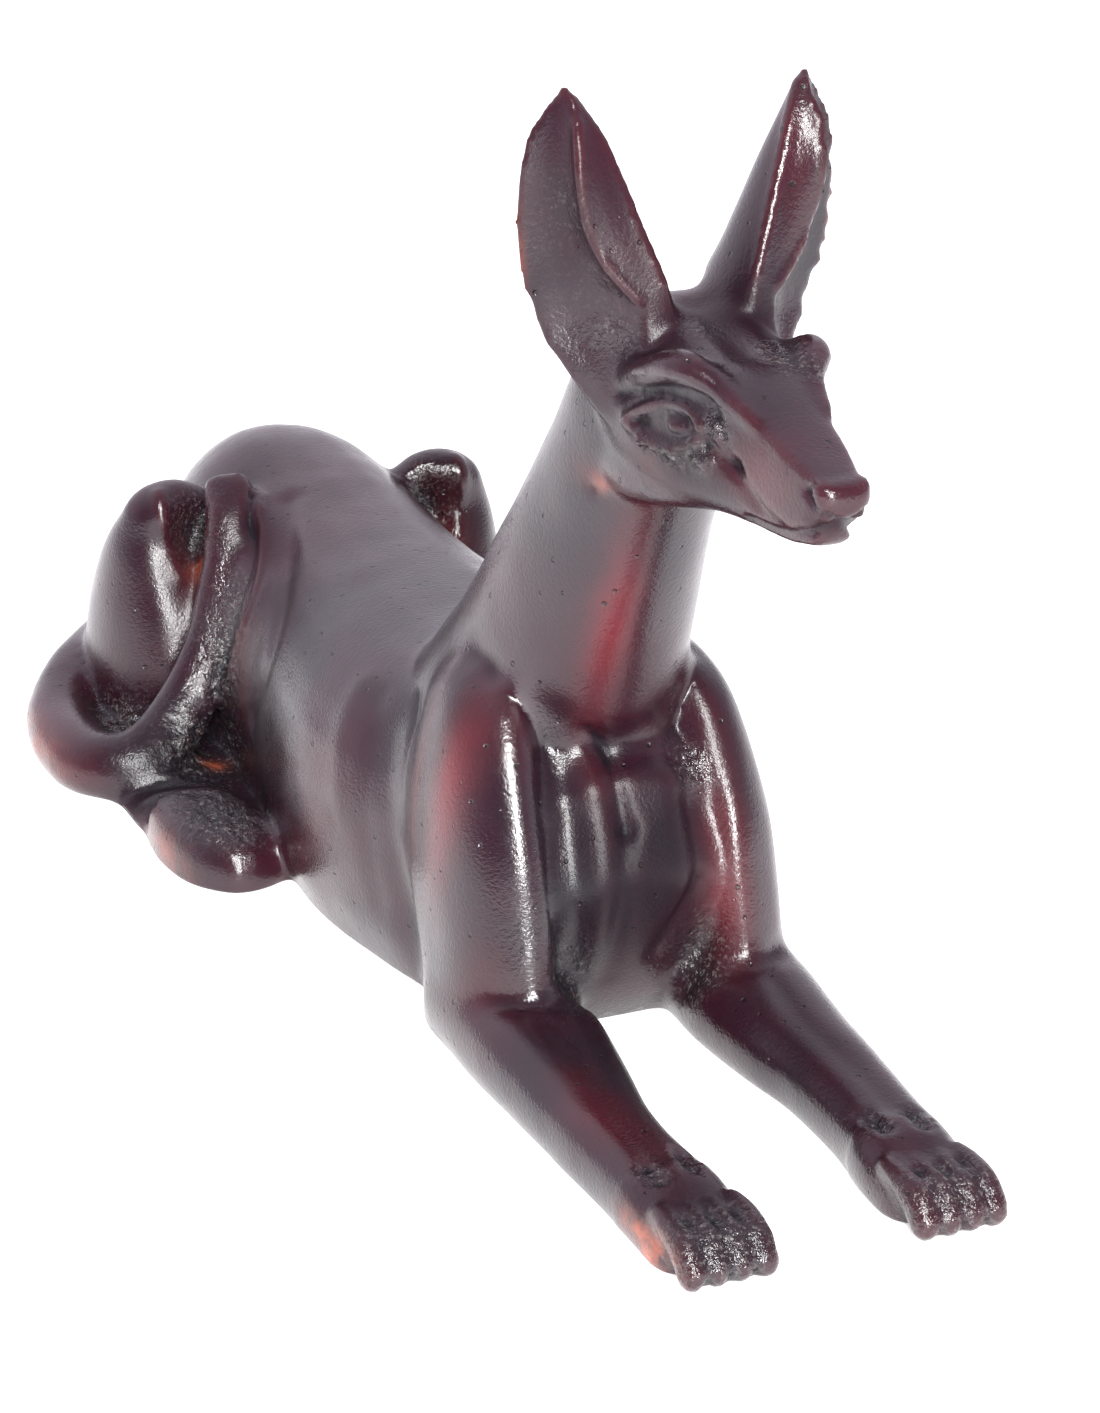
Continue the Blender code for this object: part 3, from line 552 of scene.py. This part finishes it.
# Roughness of clean resin, then what each mask adds to it
RESIN_ROUGHNESS = 0.15
ROUGHNESS_CHANGES = (("fine_cloud", 0.14), ("painted_shade_zone", 0.26), ("worn", -0.12), ("polish", -0.06))
# Strength of the reflections, what matte places lose of it and polished ones gain
RESIN_SHINE = 0.5
MATTE_LOSS = 0.4
POLISH_GAIN = 0.5
# Depth of the finest relief in metres, how strongly it shows, and its layers' heights as shares
# of that depth
RELIEF_DEPTH = 0.0001
RELIEF_STRENGTH = 0.55
FINE_GRAIN_HEIGHT = 0.8
FILE_MARK_HEIGHT = 0.12
PIT_DEPTH = 2.0
COARSE_GRAIN_HEIGHT = 12.0

# The floor is a little below the figure's underside, and glows to be as pale as the room
FLOOR_DROP = 0.0002
FLOOR_SIZE = 3.0
FLOOR_VALUES = {
    "Base Color": (0.9, 0.9, 0.9, 1.0),
    "Roughness": 0.8,
    "Emission Color": (1.0, 1.0, 1.0, 1.0),
    "Emission Strength": 0.62,
}
# The room is pale all round, shaded high up behind the camera
ROOM_LIGHT = 0.66
ROOM_COLOUR = (0.95, 0.88, 1.0, 1.0)
SHADED_SHARE = 0.85
SHADED_TOWARDS = (-0.33, -0.76, 0.56)
SHADE_EDGE = (0.25, 0.85)
# and brighter behind the figure
BRIGHT_SHARE = 0.9
BRIGHT_TOWARDS = (-0.15, 0.88, 0.45)
BRIGHT_EDGE = (0.1, 0.95)
# Soft lights: name, place, size, power in watts. They are turned to one place in the figure
PANEL_AIM = (0, 0, 0.03)
PANELS = (
    ("key", (-0.30, -0.62, 0.60), (0.09, 0.09), 6.5),
    ("strip", (-0.20, -0.80, 0.36), (0.05, 0.50), 13.0),
)


def smooth_rows(rows, count):
    """The rows read at even steps along a smooth curve through them."""
    rows = np.array(rows, float)
    padded = np.vstack([2 * rows[0] - rows[1], rows, 2 * rows[-1] - rows[-2]])
    places = np.linspace(0, len(rows) - 1, count)
    first = np.minimum(places.astype(int), len(rows) - 2)
    t = (places - first)[:, None]
    a, b, c, d = (padded[first + k] for k in range(4))
    square = (2 * a - 5 * b + 4 * c - d) * t**2
    cube = (3 * b - a - 3 * c + d) * t**3
    return (2 * b + (c - a) * t + square + cube) / 2


def unit_rows(vectors):
    return vectors / np.linalg.norm(vectors, axis=-1, keepdims=True)


def ring_frames(centres, side):
    """For each ring the directions along the path, across it and over it."""
    along = unit_rows(np.gradient(centres, axis=0))
    side = np.asarray(side, float)
    across = unit_rows(side - along * (along @ side)[:, None])
    return along, across, np.cross(along, across)


def add_rings(bm, rings):
    """Skins a list of rings and closes both ends."""
    loops = [[bm.verts.new(point * UNIT) for point in ring] for ring in rings]
    count = len(loops[0])
    for lower, upper in zip(loops, loops[1:]):
        for k in range(count):
            bm.faces.new((lower[k], lower[(k + 1) % count], upper[(k + 1) % count], upper[k]))
    bm.faces.new(loops[0][::-1])
    bm.faces.new(loops[-1])


def add_loft(bm, centres, widths, depths, squareness, side, rings=RINGS, bluntness=1.0):
    """A round-ended form along a path, with superelliptic sections."""
    table = np.column_stack([centres, widths, depths, squareness])
    table = smooth_rows(table, rings)
    along, across, over = ring_frames(table[:, :3], side)
    angles = np.linspace(0, 2 * np.pi, RING_POINTS, endpoint=False)
    skins = [(row[:3], row[3], row[4], row[5], index) for index, row in enumerate(table)]
    first = rounded_end(skins[0], -along[0], bluntness)
    last = rounded_end(skins[-1], along[-1], bluntness)
    made = []
    for centre, width, depth, power, index in first[::-1] + skins + last:
        x = rounded(np.cos(angles), power) * width
        y = rounded(np.sin(angles), power) * depth
        made.append(centre + x[:, None] * across[index] + y[:, None] * over[index])
    add_rings(bm, made)


def rounded(wave, power):
    return np.sign(wave) * np.abs(wave) ** (2 / power)


def rounded_end(skin, direction, bluntness):
    centre, width, depth, power, index = skin
    reach = min(width, depth) * bluntness
    cap = []
    for angle in np.radians(CAP_ANGLES):
        place = centre + direction * reach * np.sin(angle)
        cap.append((place, width * np.cos(angle), depth * np.cos(angle), power, index))
    return cap


def on_middle(rows):
    """Places on the plane of symmetry."""
    return np.column_stack([np.zeros(len(rows)), rows[:, 0], rows[:, 1]])


def add_trunk(bm):
    rows = np.array(TRUNK)
    wide, high, squareness = rows[:, 2], rows[:, 3], rows[:, 4]
    add_loft(bm, on_middle(rows), wide, high, squareness, (1, 0, 0), TRUNK_RINGS, TRUNK_BLUNTNESS)


def add_neck(bm):
    rows = np.array(NECK)
    add_loft(bm, on_middle(rows), rows[:, 2], rows[:, 3], np.full(len(rows), ROUND), (1, 0, 0))


def add_head(bm, rows):
    rows = np.array(rows)
    wide, high, squareness = rows[:, 2], rows[:, 3], rows[:, 4]
    add_loft(bm, on_middle(rows), wide, high, squareness, (1, 0, 0), bluntness=HEAD_BLUNTNESS)


def mirrored(rows, hand):
    rows = np.array(rows, float)
    rows[:, 0] *= hand
    return rows


def add_limb(bm, rows, hand, squareness=LIMB_SQUARENESS, bluntness=1.0):
    rows = mirrored(rows, hand)
    power = np.full(len(rows), squareness)
    add_loft(bm, rows[:, :3], rows[:, 3], rows[:, 4], power, (1, 0, 0), bluntness=bluntness)


def add_toes(bm, hand):
    for offset in TOE_PLACES:
        across = FORELEG[-1][0] + offset
        rows = [(across, PAW_FRONT + back, height, wide, high) for back, height, wide, high in TOE]
        add_limb(bm, rows, hand, ROUND)


def bowed_side(start, end, bow):
    """Points from one corner of a section towards the next, on a bow."""
    steps = np.linspace(0, 1, BOW_STEPS, endpoint=False)[:, None]
    run = end - start
    outwards = np.array([run[1], -run[0], 0])
    return start + run * steps + outwards * bow * 4 * steps * (1 - steps)


def add_ear(bm, hand):
    """A pointed ear with four faces: front, hollow, back and inner side."""
    rings = []
    for row in smooth_rows(EAR, EAR_RINGS):
        corners = [np.array([row[k], row[k + 1], row[0]]) for k in (1, 3, 5, 7)]
        sides = zip(corners, corners[1:] + corners[:1], EAR_BOWS)
        ring = np.vstack([bowed_side(start, end, bow) for start, end, bow in sides])
        rings.append((ring * (hand, 1, 1))[::hand])
    add_rings(bm, rings)


def add_brow(bm, hand):
    rows = mirrored(BROW, hand)
    radii = rows[:, 3]
    add_loft(bm, rows[:, :3], radii, radii, np.full(len(rows), ROUND), (1, 0, 0))


def add_ball(bm, place, size, hand):
    made = bmesh.ops.create_icosphere(bm, subdivisions=BALL_FINENESS, radius=1.0)
    for vert in made["verts"]:
        point = np.array(vert.co) * size + np.array(place) * (hand, 1, 1)
        vert.co = point * UNIT


def add_tail(bm):
    rows = np.array(TAIL)
    wide, thick, squareness = rows[:, 3], rows[:, 4], rows[:, 5]
    add_loft(bm, rows[:, :3], thick, wide, squareness, TAIL_FACE, TAIL_RINGS, TAIL_BLUNTNESS)


def rough_forms():
    """The limbs and masses as closed shells that overlap, in one mesh."""
    bm = bmesh.new()
    add_trunk(bm)
    add_neck(bm)
    add_head(bm, HEAD)
    add_head(bm, NOSE)
    add_head(bm, JAW)
    for hand in BOTH_HANDS:
        add_ear(bm, hand)
        add_brow(bm, hand)
        add_ball(bm, EYE_PLACE, EYE_SIZE, hand)
        add_limb(bm, SHOULDER, hand)
        add_limb(bm, FORELEG, hand)
        add_toes(bm, hand)
        add_limb(bm, THIGH, hand, THIGH_SQUARENESS)
        add_limb(bm, HIND_FOOT, hand, FOOT_SQUARENESS, FOOT_BLUNTNESS)
        add_limb(bm, FOOT_WEB, hand)
        add_ball(bm, BUTTOCK_PLACE, BUTTOCK_SIZE, hand)
    add_limb(bm, TAIL_WEB, 1)
    add_tail(bm)
    bmesh.ops.recalc_face_normals(bm, faces=bm.faces)
    mesh = bpy.data.meshes.new("rough_forms")
    bm.to_mesh(mesh)
    bm.free()
    return mesh


def evaluated_copy(item, name):
    """The object's mesh with its modifiers applied, as a new mesh."""
    graph = bpy.context.evaluated_depsgraph_get()
    graph.update()
    made = bpy.data.meshes.new_from_object(item.evaluated_get(graph))
    made.name = name
    return made


def melt(mesh):
    """One skin round all the shells."""
    item = bpy.data.objects.new("melt", mesh)
    bpy.context.scene.collection.objects.link(item)
    remesh = item.modifiers.new("melt", "REMESH")
    remesh.mode = "VOXEL"
    remesh.voxel_size = VOXEL * UNIT
    remesh.adaptivity = 0
    made = evaluated_copy(item, "melted")
    bpy.data.objects.remove(item)
    return made


def points_of(mesh):
    points = np.empty(len(mesh.vertices) * 3, np.float32)
    mesh.vertices.foreach_get("co", points)
    return points.reshape(-1, 3).astype(float) / UNIT


def edges_of(mesh):
    edges = np.empty(len(mesh.edges) * 2, np.int32)
    mesh.edges.foreach_get("vertices", edges)
    return edges.reshape(-1, 2)


def set_points(mesh, points):
    mesh.vertices.foreach_set("co", (points * UNIT).astype(np.float32).ravel())
    mesh.update()


def relaxed(points, edges, rounds, share):
    """Moves each point towards the middle of its neighbours, by its share."""
    count = np.bincount(edges.ravel(), minlength=len(points))[:, None]
    for _ in range(rounds):
        total = np.zeros_like(points)
        for axis in range(3):
            total[:, axis] += np.bincount(edges[:, 0], points[edges[:, 1], axis], len(points))
            total[:, axis] += np.bincount(edges[:, 1], points[edges[:, 0], axis], len(points))
        points = points + share[:, None] * (total / count - points)
    return points


def distance_to_path(points, path):
    nearest = np.full(len(points), np.inf)
    for start, end in zip(path, path[1:]):
        run = end - start
        t = np.clip((points - start) @ run / (run @ run), 0, 1)
        nearest = np.minimum(nearest, np.linalg.norm(points - start - t[:, None] * run, axis=1))
    return nearest


def normals_of(mesh):
    normals = np.empty(len(mesh.vertices) * 3, np.float32)
    mesh.vertices.foreach_get("normal", normals)
    return normals.reshape(-1, 3).astype(float)


def carve(points, normals, stroke, hand=1):
    """Raises or lowers the skin along one line."""
    width, height = stroke[:2]
    path = mirrored(stroke[2:], hand)
    path = smooth_rows(path, STROKE_STEPS * len(path))
    lowest = path.min(axis=0) - STROKE_REACH * width
    highest = path.max(axis=0) + STROKE_REACH * width
    near = ((points > lowest) & (points < highest)).all(axis=1)
    share = np.exp(-((distance_to_path(points[near], path) / width) ** 2))
    moved = points.copy()
    moved[near] += normals[near] * (height * share)[:, None]
    return moved


def carved(mesh):
    points, normals = points_of(mesh), normals_of(mesh)
    for hand in BOTH_HANDS:
        for stroke in PAIRED_STROKES:
            points = carve(points, normals, stroke, hand)
        for middle, reach, shift in HOLLOWS:
            offset = np.linalg.norm((points - np.array(middle) * (hand, 1, 1)) / reach, axis=1)
            points = points + np.exp(-(offset**2))[:, None] * np.array(shift) * (hand, 1, 1)
    for stroke in SINGLE_STROKES:
        points = carve(points, normals, stroke)
    return points


def softness(points):
    """Each point's share in the evening-out: little on the ears, the face and the paws."""
    rearwards, height = points[:, 1], points[:, 2]
    share = np.full(len(points), BODY_SHARE)
    share[height > EAR_FOOT] = EAR_SHARE
    share[(height > FACE_FOOT) & (rearwards < FACE_BACK)] = FACE_SHARE
    share[(height < FACE_FOOT) & (rearwards < WRIST)] = PAW_SHARE
    return share


def figure_mesh():
    mesh = melt(rough_forms())
    points = points_of(mesh)
    rounds = round(EVENNESS / VOXEL**2)
    points = relaxed(points, edges_of(mesh), rounds, softness(points))
    set_points(mesh, points)
    set_points(mesh, carved(mesh))
    return mesh


def cut_flat(mesh):
    """Cuts away what lies below the ground and closes the cut."""
    bm = bmesh.new()
    bm.from_mesh(mesh)
    everything = bm.verts[:] + bm.edges[:] + bm.faces[:]
    down = (0, 0, -1)
    bmesh.ops.bisect_plane(bm, geom=everything, plane_co=(0, 0, 0), plane_no=down, clear_outer=True)
    rim = [edge for edge in bm.edges if edge.is_boundary]
    bmesh.ops.triangle_fill(bm, edges=rim, use_beauty=True, normal=down)
    bmesh.ops.recalc_face_normals(bm, faces=bm.faces)
    bmesh.ops.triangulate(bm, faces=bm.faces)
    bm.to_mesh(mesh)
    bm.free()


def patch(points, middle, reach, hand=1):
    """A soft mask round a place: 1 in its middle, 0 far away."""
    offset = (points - np.array(middle) * (hand, 1, 1)) / reach
    return np.exp(-(offset**2).sum(axis=1))


def grains(points, mask, size):
    """Noise at the points where the mask is open, 0 elsewhere."""
    heights = np.zeros(len(points))
    for index in np.where(mask > GRAIN_EDGE)[0]:
        place = Vector(points[index] / size)
        grain = noise.fractal(place, GRAIN_FADE, GRAIN_FINENESS, GRAIN_LAYERS)
        heights[index] = grain * mask[index]
    return heights


def waves(points):
    """The slow unevenness of a skin that was modelled by hand, -1 to 1."""
    return np.array([noise.noise(Vector(point / WAVE_LENGTH)) for point in points])


def fine_relief(points, normals):
    """The points moved by waves, fine strokes, rough places and the chips of the left ear."""
    points = points + normals * (waves(points) * WAVE_HEIGHT)[:, None]
    for stroke in FINE_SINGLE_STROKES:
        points = carve(points, normals, stroke)
    for hand in BOTH_HANDS:
        for stroke in FINE_PAIRED_STROKES:
            points = carve(points, normals, stroke, hand)
        for middle, reach, height, size in ROUGH_PLACES:
            bumps = grains(points, patch(points, middle, reach, hand), size)
            points = points + normals * (bumps * height)[:, None]
    for place, reach, depth in EAR_CHIPS:
        dent = patch(points, place, reach * np.array(CHIP_STRETCH))
        points = points - normals * (dent * depth)[:, None]
    return points


def hollowness(points, edges, normals, rounds):
    """How far each point lies below the smoothed skin, in units."""
    smooth = relaxed(points, edges, rounds, np.full(len(points), HOLLOW_SHARE))
    return ((smooth - points) * normals).sum(axis=1)


def zone_values(points, places, hands):
    """The strongest of the places at each point."""
    total = np.zeros(len(points))
    for middle, reach, strength in places:
        for hand in hands:
            total = np.maximum(total, patch(points, middle, reach, hand) * strength)
    return total


def wear_shade_and_glow_values(mesh):
    """What the material reads at each point: depth below the smoothed skin, and the zones of wear,
    colour, painted shade and painted glow.
    """
    points, edges, normals = points_of(mesh), edges_of(mesh), normals_of(mesh)
    rough_places = [(middle, reach, 1.0) for middle, reach, _, _ in ROUGH_PLACES]
    return {
        "crease": hollowness(points, edges, normals, CREASE_ROUNDS),
        "hollow": hollowness(points, edges, normals, HOLLOW_ROUNDS),
        "rough": zone_values(points, rough_places, BOTH_HANDS),
        "glow": zone_values(points, GLOW_PLACES, BOTH_HANDS),
        "silver": zone_values(points, SILVER_PLACES, AS_GIVEN),
        "red": zone_values(points, RED_PLACES, AS_GIVEN),
        "dark": zone_values(points, PAINTED_SHADE_PLACES, AS_GIVEN),
        "polish": zone_values(points, POLISHED_PLACES, AS_GIVEN),
    }


def store_values(mesh, source_points, values):
    """Copies each value from the nearest point of the finer skin."""
    tree = kdtree.KDTree(len(source_points))
    for index, point in enumerate(source_points):
        tree.insert(point, index)
    tree.balance()
    nearest = np.array([tree.find(point)[1] for point in points_of(mesh)])
    for name, numbers in values.items():
        layer = mesh.attributes.new(name, "FLOAT", "POINT")
        layer.data.foreach_set("value", numbers[nearest].astype(np.float32))


def thinned_skin(mesh):
    """The skin with fewer triangles."""
    item = bpy.data.objects.new("thin", mesh)
    bpy.context.scene.collection.objects.link(item)
    fewer = item.modifiers.new("fewer", "DECIMATE")
    mesh.calc_loop_triangles()
    fewer.ratio = min(1.0, SKIN_TRIANGLES / len(mesh.loop_triangles))
    made = evaluated_copy(item, "jackal_carving")
    bpy.data.objects.remove(item)
    return made


class Nodes:
    """Short calls for building a node tree."""

    def __init__(self, tree):
        self.tree = tree

    def add(self, kind, settings=None, **inputs):
        node = self.tree.nodes.new(kind)
        for name, value in (settings or {}).items():
            setattr(node, name, value)
        for name, value in inputs.items():
            self.feed(node.inputs[name], value)
        return node

    def feed(self, socket, value):
        """Links a socket to another, or sets its value."""
        if isinstance(value, bpy.types.NodeSocket):
            self.tree.links.new(value, socket)
        else:
            socket.default_value = value

    def maths(self, operation, a, b=0.0, clamp=False):
        node = self.add("ShaderNodeMath", {"operation": operation, "use_clamp": clamp})
        self.feed(node.inputs[0], a)
        self.feed(node.inputs[1], b)
        return node.outputs[0]

    def value(self, name):
        """A value that is stored with the skin."""
        return self.add("ShaderNodeAttribute", {"attribute_name": name}).outputs["Fac"]

    def noise(self, place, scale, detail, weight):
        settings = {"Scale": scale, "Detail": detail, "Roughness": weight}
        return self.add("ShaderNodeTexNoise", Vector=place, **settings).outputs["Fac"]

    def cells(self, place, scale):
        """Distance to the nearest of many scattered points."""
        node = self.add("ShaderNodeTexVoronoi", {"feature": "F1"}, Vector=place, Scale=scale)
        return node.outputs["Distance"]

    def stretched(self, place, turn, scale):
        node = self.add("ShaderNodeMapping", Vector=place, Rotation=turn, Scale=scale)
        return node.outputs["Vector"]

    def ramp(self, value, *stops):
        """A colour band; each stop is a place and a colour."""
        node = self.add("ShaderNodeValToRGB", Fac=value)
        band = node.color_ramp.elements
        while len(band) < len(stops):
            band.new(0.5)
        for element, (place, colour) in zip(band, stops):
            element.position = place
            element.color = (*colour, 1.0)
        return node.outputs["Color"]

    def span(self, value, low, high):
        """The value carried from low..high to 0..1."""
        node = self.add("ShaderNodeMapRange", {"clamp": True}, Value=value)
        self.feed(node.inputs["From Min"], low)
        self.feed(node.inputs["From Max"], high)
        return node.outputs["Result"]

    def blend(self, share, first, second):
        node = self.add("ShaderNodeMix", {"data_type": "RGBA"})
        colours = [socket for socket in node.inputs if socket.type == "RGBA"]
        self.feed(node.inputs[0], share)
        self.feed(colours[0], first)
        self.feed(colours[1], second)
        return [socket for socket in node.outputs if socket.type == "RGBA"][0]


def resin_masks(n, place):
    """What the resin's colour, gloss and relief share, each between 0 and 1."""
    cloud = n.noise(place, *CLOUD)
    fine_cloud = n.noise(place, *FINE_CLOUD)
    crease = n.span(n.value("crease"), *CREASE_SPAN)
    hollow = n.span(n.value("hollow"), *HOLLOW_SPAN)
    # painted shade: the places listed for it, broken up by the clouds
    painted_shade = n.maths("MULTIPLY", n.value("dark"), n.span(cloud, *PAINTED_SHADE_SPAN))
    worn = n.maths("MAXIMUM", n.value("rough"), n.value("silver"))
    speckle = n.noise(place, *SPECKLE)
    return {
        "cloud": cloud,
        "fine_cloud": fine_cloud,
        "crease": crease,
        "edge": n.span(n.value("crease"), *EDGE_SPAN),
        # the places of painted shade, made duller and weaker in reflection
        "painted_shade_zone": n.value("dark"),
        # darker creases and hollows, together with the painted shade
        "dark": n.maths("MAXIMUM", n.maths("MAXIMUM", hollow, crease), painted_shade),
        "worn": worn,
        "dust": n.maths("MULTIPLY", worn, n.span(speckle, *DUST_SPAN)),
        "polish": n.value("polish"),
        "pits": n.span(n.cells(place, PIT_SCALE), *PIT_SPAN),
        "red": n.maths("MULTIPLY", n.value("red"), n.span(cloud, *RED_SPAN)),
        # painted glow of light coming through thin places
        "glow": n.maths("MULTIPLY", n.value("glow"), n.span(fine_cloud, *GLOW_SPAN)),
    }


def resin_colour(n, masks):
    """The body's clouded colour under the other layers."""
    colour = n.ramp(masks["cloud"], *BODY_COLOURS)
    for name, strength, layer in COLOUR_LAYERS:
        colour = n.blend(n.maths("MULTIPLY", masks[name], strength), colour, layer)
    return colour


def resin_roughness(n, masks):
    """Duller where cloudy and in the places of painted shade, glossier where worn and polished."""
    roughness = RESIN_ROUGHNESS
    for name, change in ROUGHNESS_CHANGES:
        roughness = n.maths("ADD", roughness, n.maths("MULTIPLY", masks[name], change))
    return roughness


def resin_shine(n, masks):
    """Strength of the reflections: weak in the places of painted shade and in creases, strong where
    polished.
    """
    matte = n.maths("MAXIMUM", masks["painted_shade_zone"], masks["crease"])
    matte = n.maths("SUBTRACT", matte, masks["worn"], clamp=True)
    shine = n.maths("SUBTRACT", RESIN_SHINE, n.maths("MULTIPLY", matte, MATTE_LOSS))
    return n.maths("ADD", shine, n.maths("MULTIPLY", masks["polish"], POLISH_GAIN), clamp=True)


def resin_relief(n, place, masks):
    """The normal bent by fine grain, file marks, pinholes and the coarse grain of worn places."""
    fine = n.noise(place, *FINE_GRAIN)
    marks = n.noise(n.stretched(place, FILE_MARK_TURN, FILE_MARK_SCALE), *FILE_MARK)
    coarse = n.noise(place, *COARSE_GRAIN)
    coarse = n.maths("MULTIPLY", coarse, masks["worn"])
    height = n.maths("MULTIPLY", fine, FINE_GRAIN_HEIGHT)
    layers = ((marks, FILE_MARK_HEIGHT), (masks["pits"], -PIT_DEPTH), (coarse, COARSE_GRAIN_HEIGHT))
    for layer, strength in layers:
        height = n.maths("ADD", height, n.maths("MULTIPLY", layer, strength))
    bump = n.add("ShaderNodeBump", Strength=RELIEF_STRENGTH, Distance=RELIEF_DEPTH, Height=height)
    return bump.outputs["Normal"]


def shaded_material(name, values):
    """A new material with these values on its shader."""
    material = bpy.data.materials.new(name)
    material.use_nodes = True
    shader = material.node_tree.nodes["Principled BSDF"]
    for socket, value in values.items():
        shader.inputs[socket].default_value = value
    return material, shader


def resin_look():
    """Dark cherry resin: redder zones, dark recesses, painted shade, silvery worn places and a
    painted glow in thin ones.
    """
    material, shader = shaded_material("cherry_resin", RESIN_VALUES)
    n = Nodes(material.node_tree)
    place = n.add("ShaderNodeTexCoord").outputs["Object"]
    masks = resin_masks(n, place)
    n.feed(shader.inputs["Base Color"], resin_colour(n, masks))
    n.feed(shader.inputs["Roughness"], resin_roughness(n, masks))
    n.feed(shader.inputs["Specular IOR Level"], resin_shine(n, masks))
    n.feed(shader.inputs["Normal"], resin_relief(n, place, masks))
    return material


def dressed_figure():
    """The figure's skin with its relief and its material, as the one visible piece."""
    mesh = figure_mesh()
    set_points(mesh, fine_relief(points_of(mesh), normals_of(mesh)))
    values = wear_shade_and_glow_values(mesh)
    fine_points = points_of(mesh)
    skin = thinned_skin(mesh)
    cut_flat(skin)
    store_values(skin, fine_points, values)
    skin.shade_smooth()
    skin.materials.clear()
    skin.materials.append(resin_look())
    piece = bpy.data.objects.new("jackal_carving", skin)
    bpy.context.scene.collection.objects.link(piece)
    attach(piece, "root")
    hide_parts("jackal_statue")


def add_floor():
    bm = bmesh.new()
    bmesh.ops.create_grid(bm, x_segments=1, y_segments=1, size=FLOOR_SIZE / 2)
    mesh = bpy.data.meshes.new("floor")
    bm.to_mesh(mesh)
    bm.free()
    floor = bpy.data.objects.new("floor", mesh)
    floor.location.z = -FLOOR_DROP
    material, _ = shaded_material("pale_floor", FLOOR_VALUES)
    mesh.materials.append(material)
    bpy.context.scene.collection.objects.link(floor)


def add_panel(name, place, aim, size, power):
    """A soft rectangular light at a place, turned to its aim."""
    lamp = bpy.data.lights.new(name, "AREA")
    lamp.shape = "RECTANGLE"
    lamp.size = size[0]
    lamp.size_y = size[1]
    lamp.energy = power
    item = bpy.data.objects.new(name, lamp)
    item.location = place
    item.rotation_euler = (Vector(aim) - Vector(place)).to_track_quat("-Z", "Y").to_euler()
    bpy.context.scene.collection.objects.link(item)


def facing(n, towards, direction, edge):
    """1 where the room lies in a direction, 0 away from it, soft between."""
    product = n.add("ShaderNodeVectorMath", {"operation": "DOT_PRODUCT"})
    n.feed(product.inputs[0], towards)
    n.feed(product.inputs[1], direction)
    return n.span(product.outputs["Value"], *edge)


def add_room():
    world = bpy.data.worlds.new("pale_room")
    world.use_nodes = True
    n = Nodes(world.node_tree)
    background = world.node_tree.nodes["Background"]
    towards = n.add("ShaderNodeTexCoord").outputs["Generated"]
    shade = n.maths("MULTIPLY", facing(n, towards, SHADED_TOWARDS, SHADE_EDGE), SHADED_SHARE)
    bright = n.maths("MULTIPLY", facing(n, towards, BRIGHT_TOWARDS, BRIGHT_EDGE), BRIGHT_SHARE)
    light = n.maths("ADD", n.maths("SUBTRACT", 1.0, shade), bright)
    n.feed(background.inputs["Color"], ROOM_COLOUR)
    n.feed(background.inputs["Strength"], n.maths("MULTIPLY", light, ROOM_LIGHT))
    bpy.context.scene.world = world


def add_light():
    add_room()
    for name, place, size, power in PANELS:
        add_panel(name, place, PANEL_AIM, size, power)


def add_camera():
    turn, down = np.radians(VIEW_TURN), np.radians(VIEW_DOWN)
    ahead = Vector((np.sin(turn) * np.cos(down), np.cos(turn) * np.cos(down), -np.sin(down)))
    right = Vector((np.cos(turn), -np.sin(turn), 0))
    up = right.cross(ahead)
    data = bpy.data.cameras.new("camera")
    data.sensor_fit = "VERTICAL"
    data.sensor_height = SENSOR_HEIGHT
    data.lens = FOCAL_PIXELS / IMAGE_HEIGHT * SENSOR_HEIGHT
    data.clip_start = NEAREST_SEEN
    camera = bpy.data.objects.new("camera", data)
    turned = Matrix((right, up, -ahead)).transposed().to_4x4()
    camera.matrix_world = Matrix.Translation(Vector(VIEW_PLACE) * UNIT) @ turned
    bpy.context.scene.collection.objects.link(camera)
    bpy.context.scene.camera = camera


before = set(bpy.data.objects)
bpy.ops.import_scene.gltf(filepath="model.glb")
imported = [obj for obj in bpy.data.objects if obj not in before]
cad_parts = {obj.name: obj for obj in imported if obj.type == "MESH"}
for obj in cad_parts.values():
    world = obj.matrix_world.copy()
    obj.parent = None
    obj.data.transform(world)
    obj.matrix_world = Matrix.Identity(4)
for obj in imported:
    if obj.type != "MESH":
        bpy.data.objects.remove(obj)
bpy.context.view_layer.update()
bpy.context.scene.view_settings.view_transform = "Standard"
add_camera()
add_light()
add_floor()
dressed_figure()
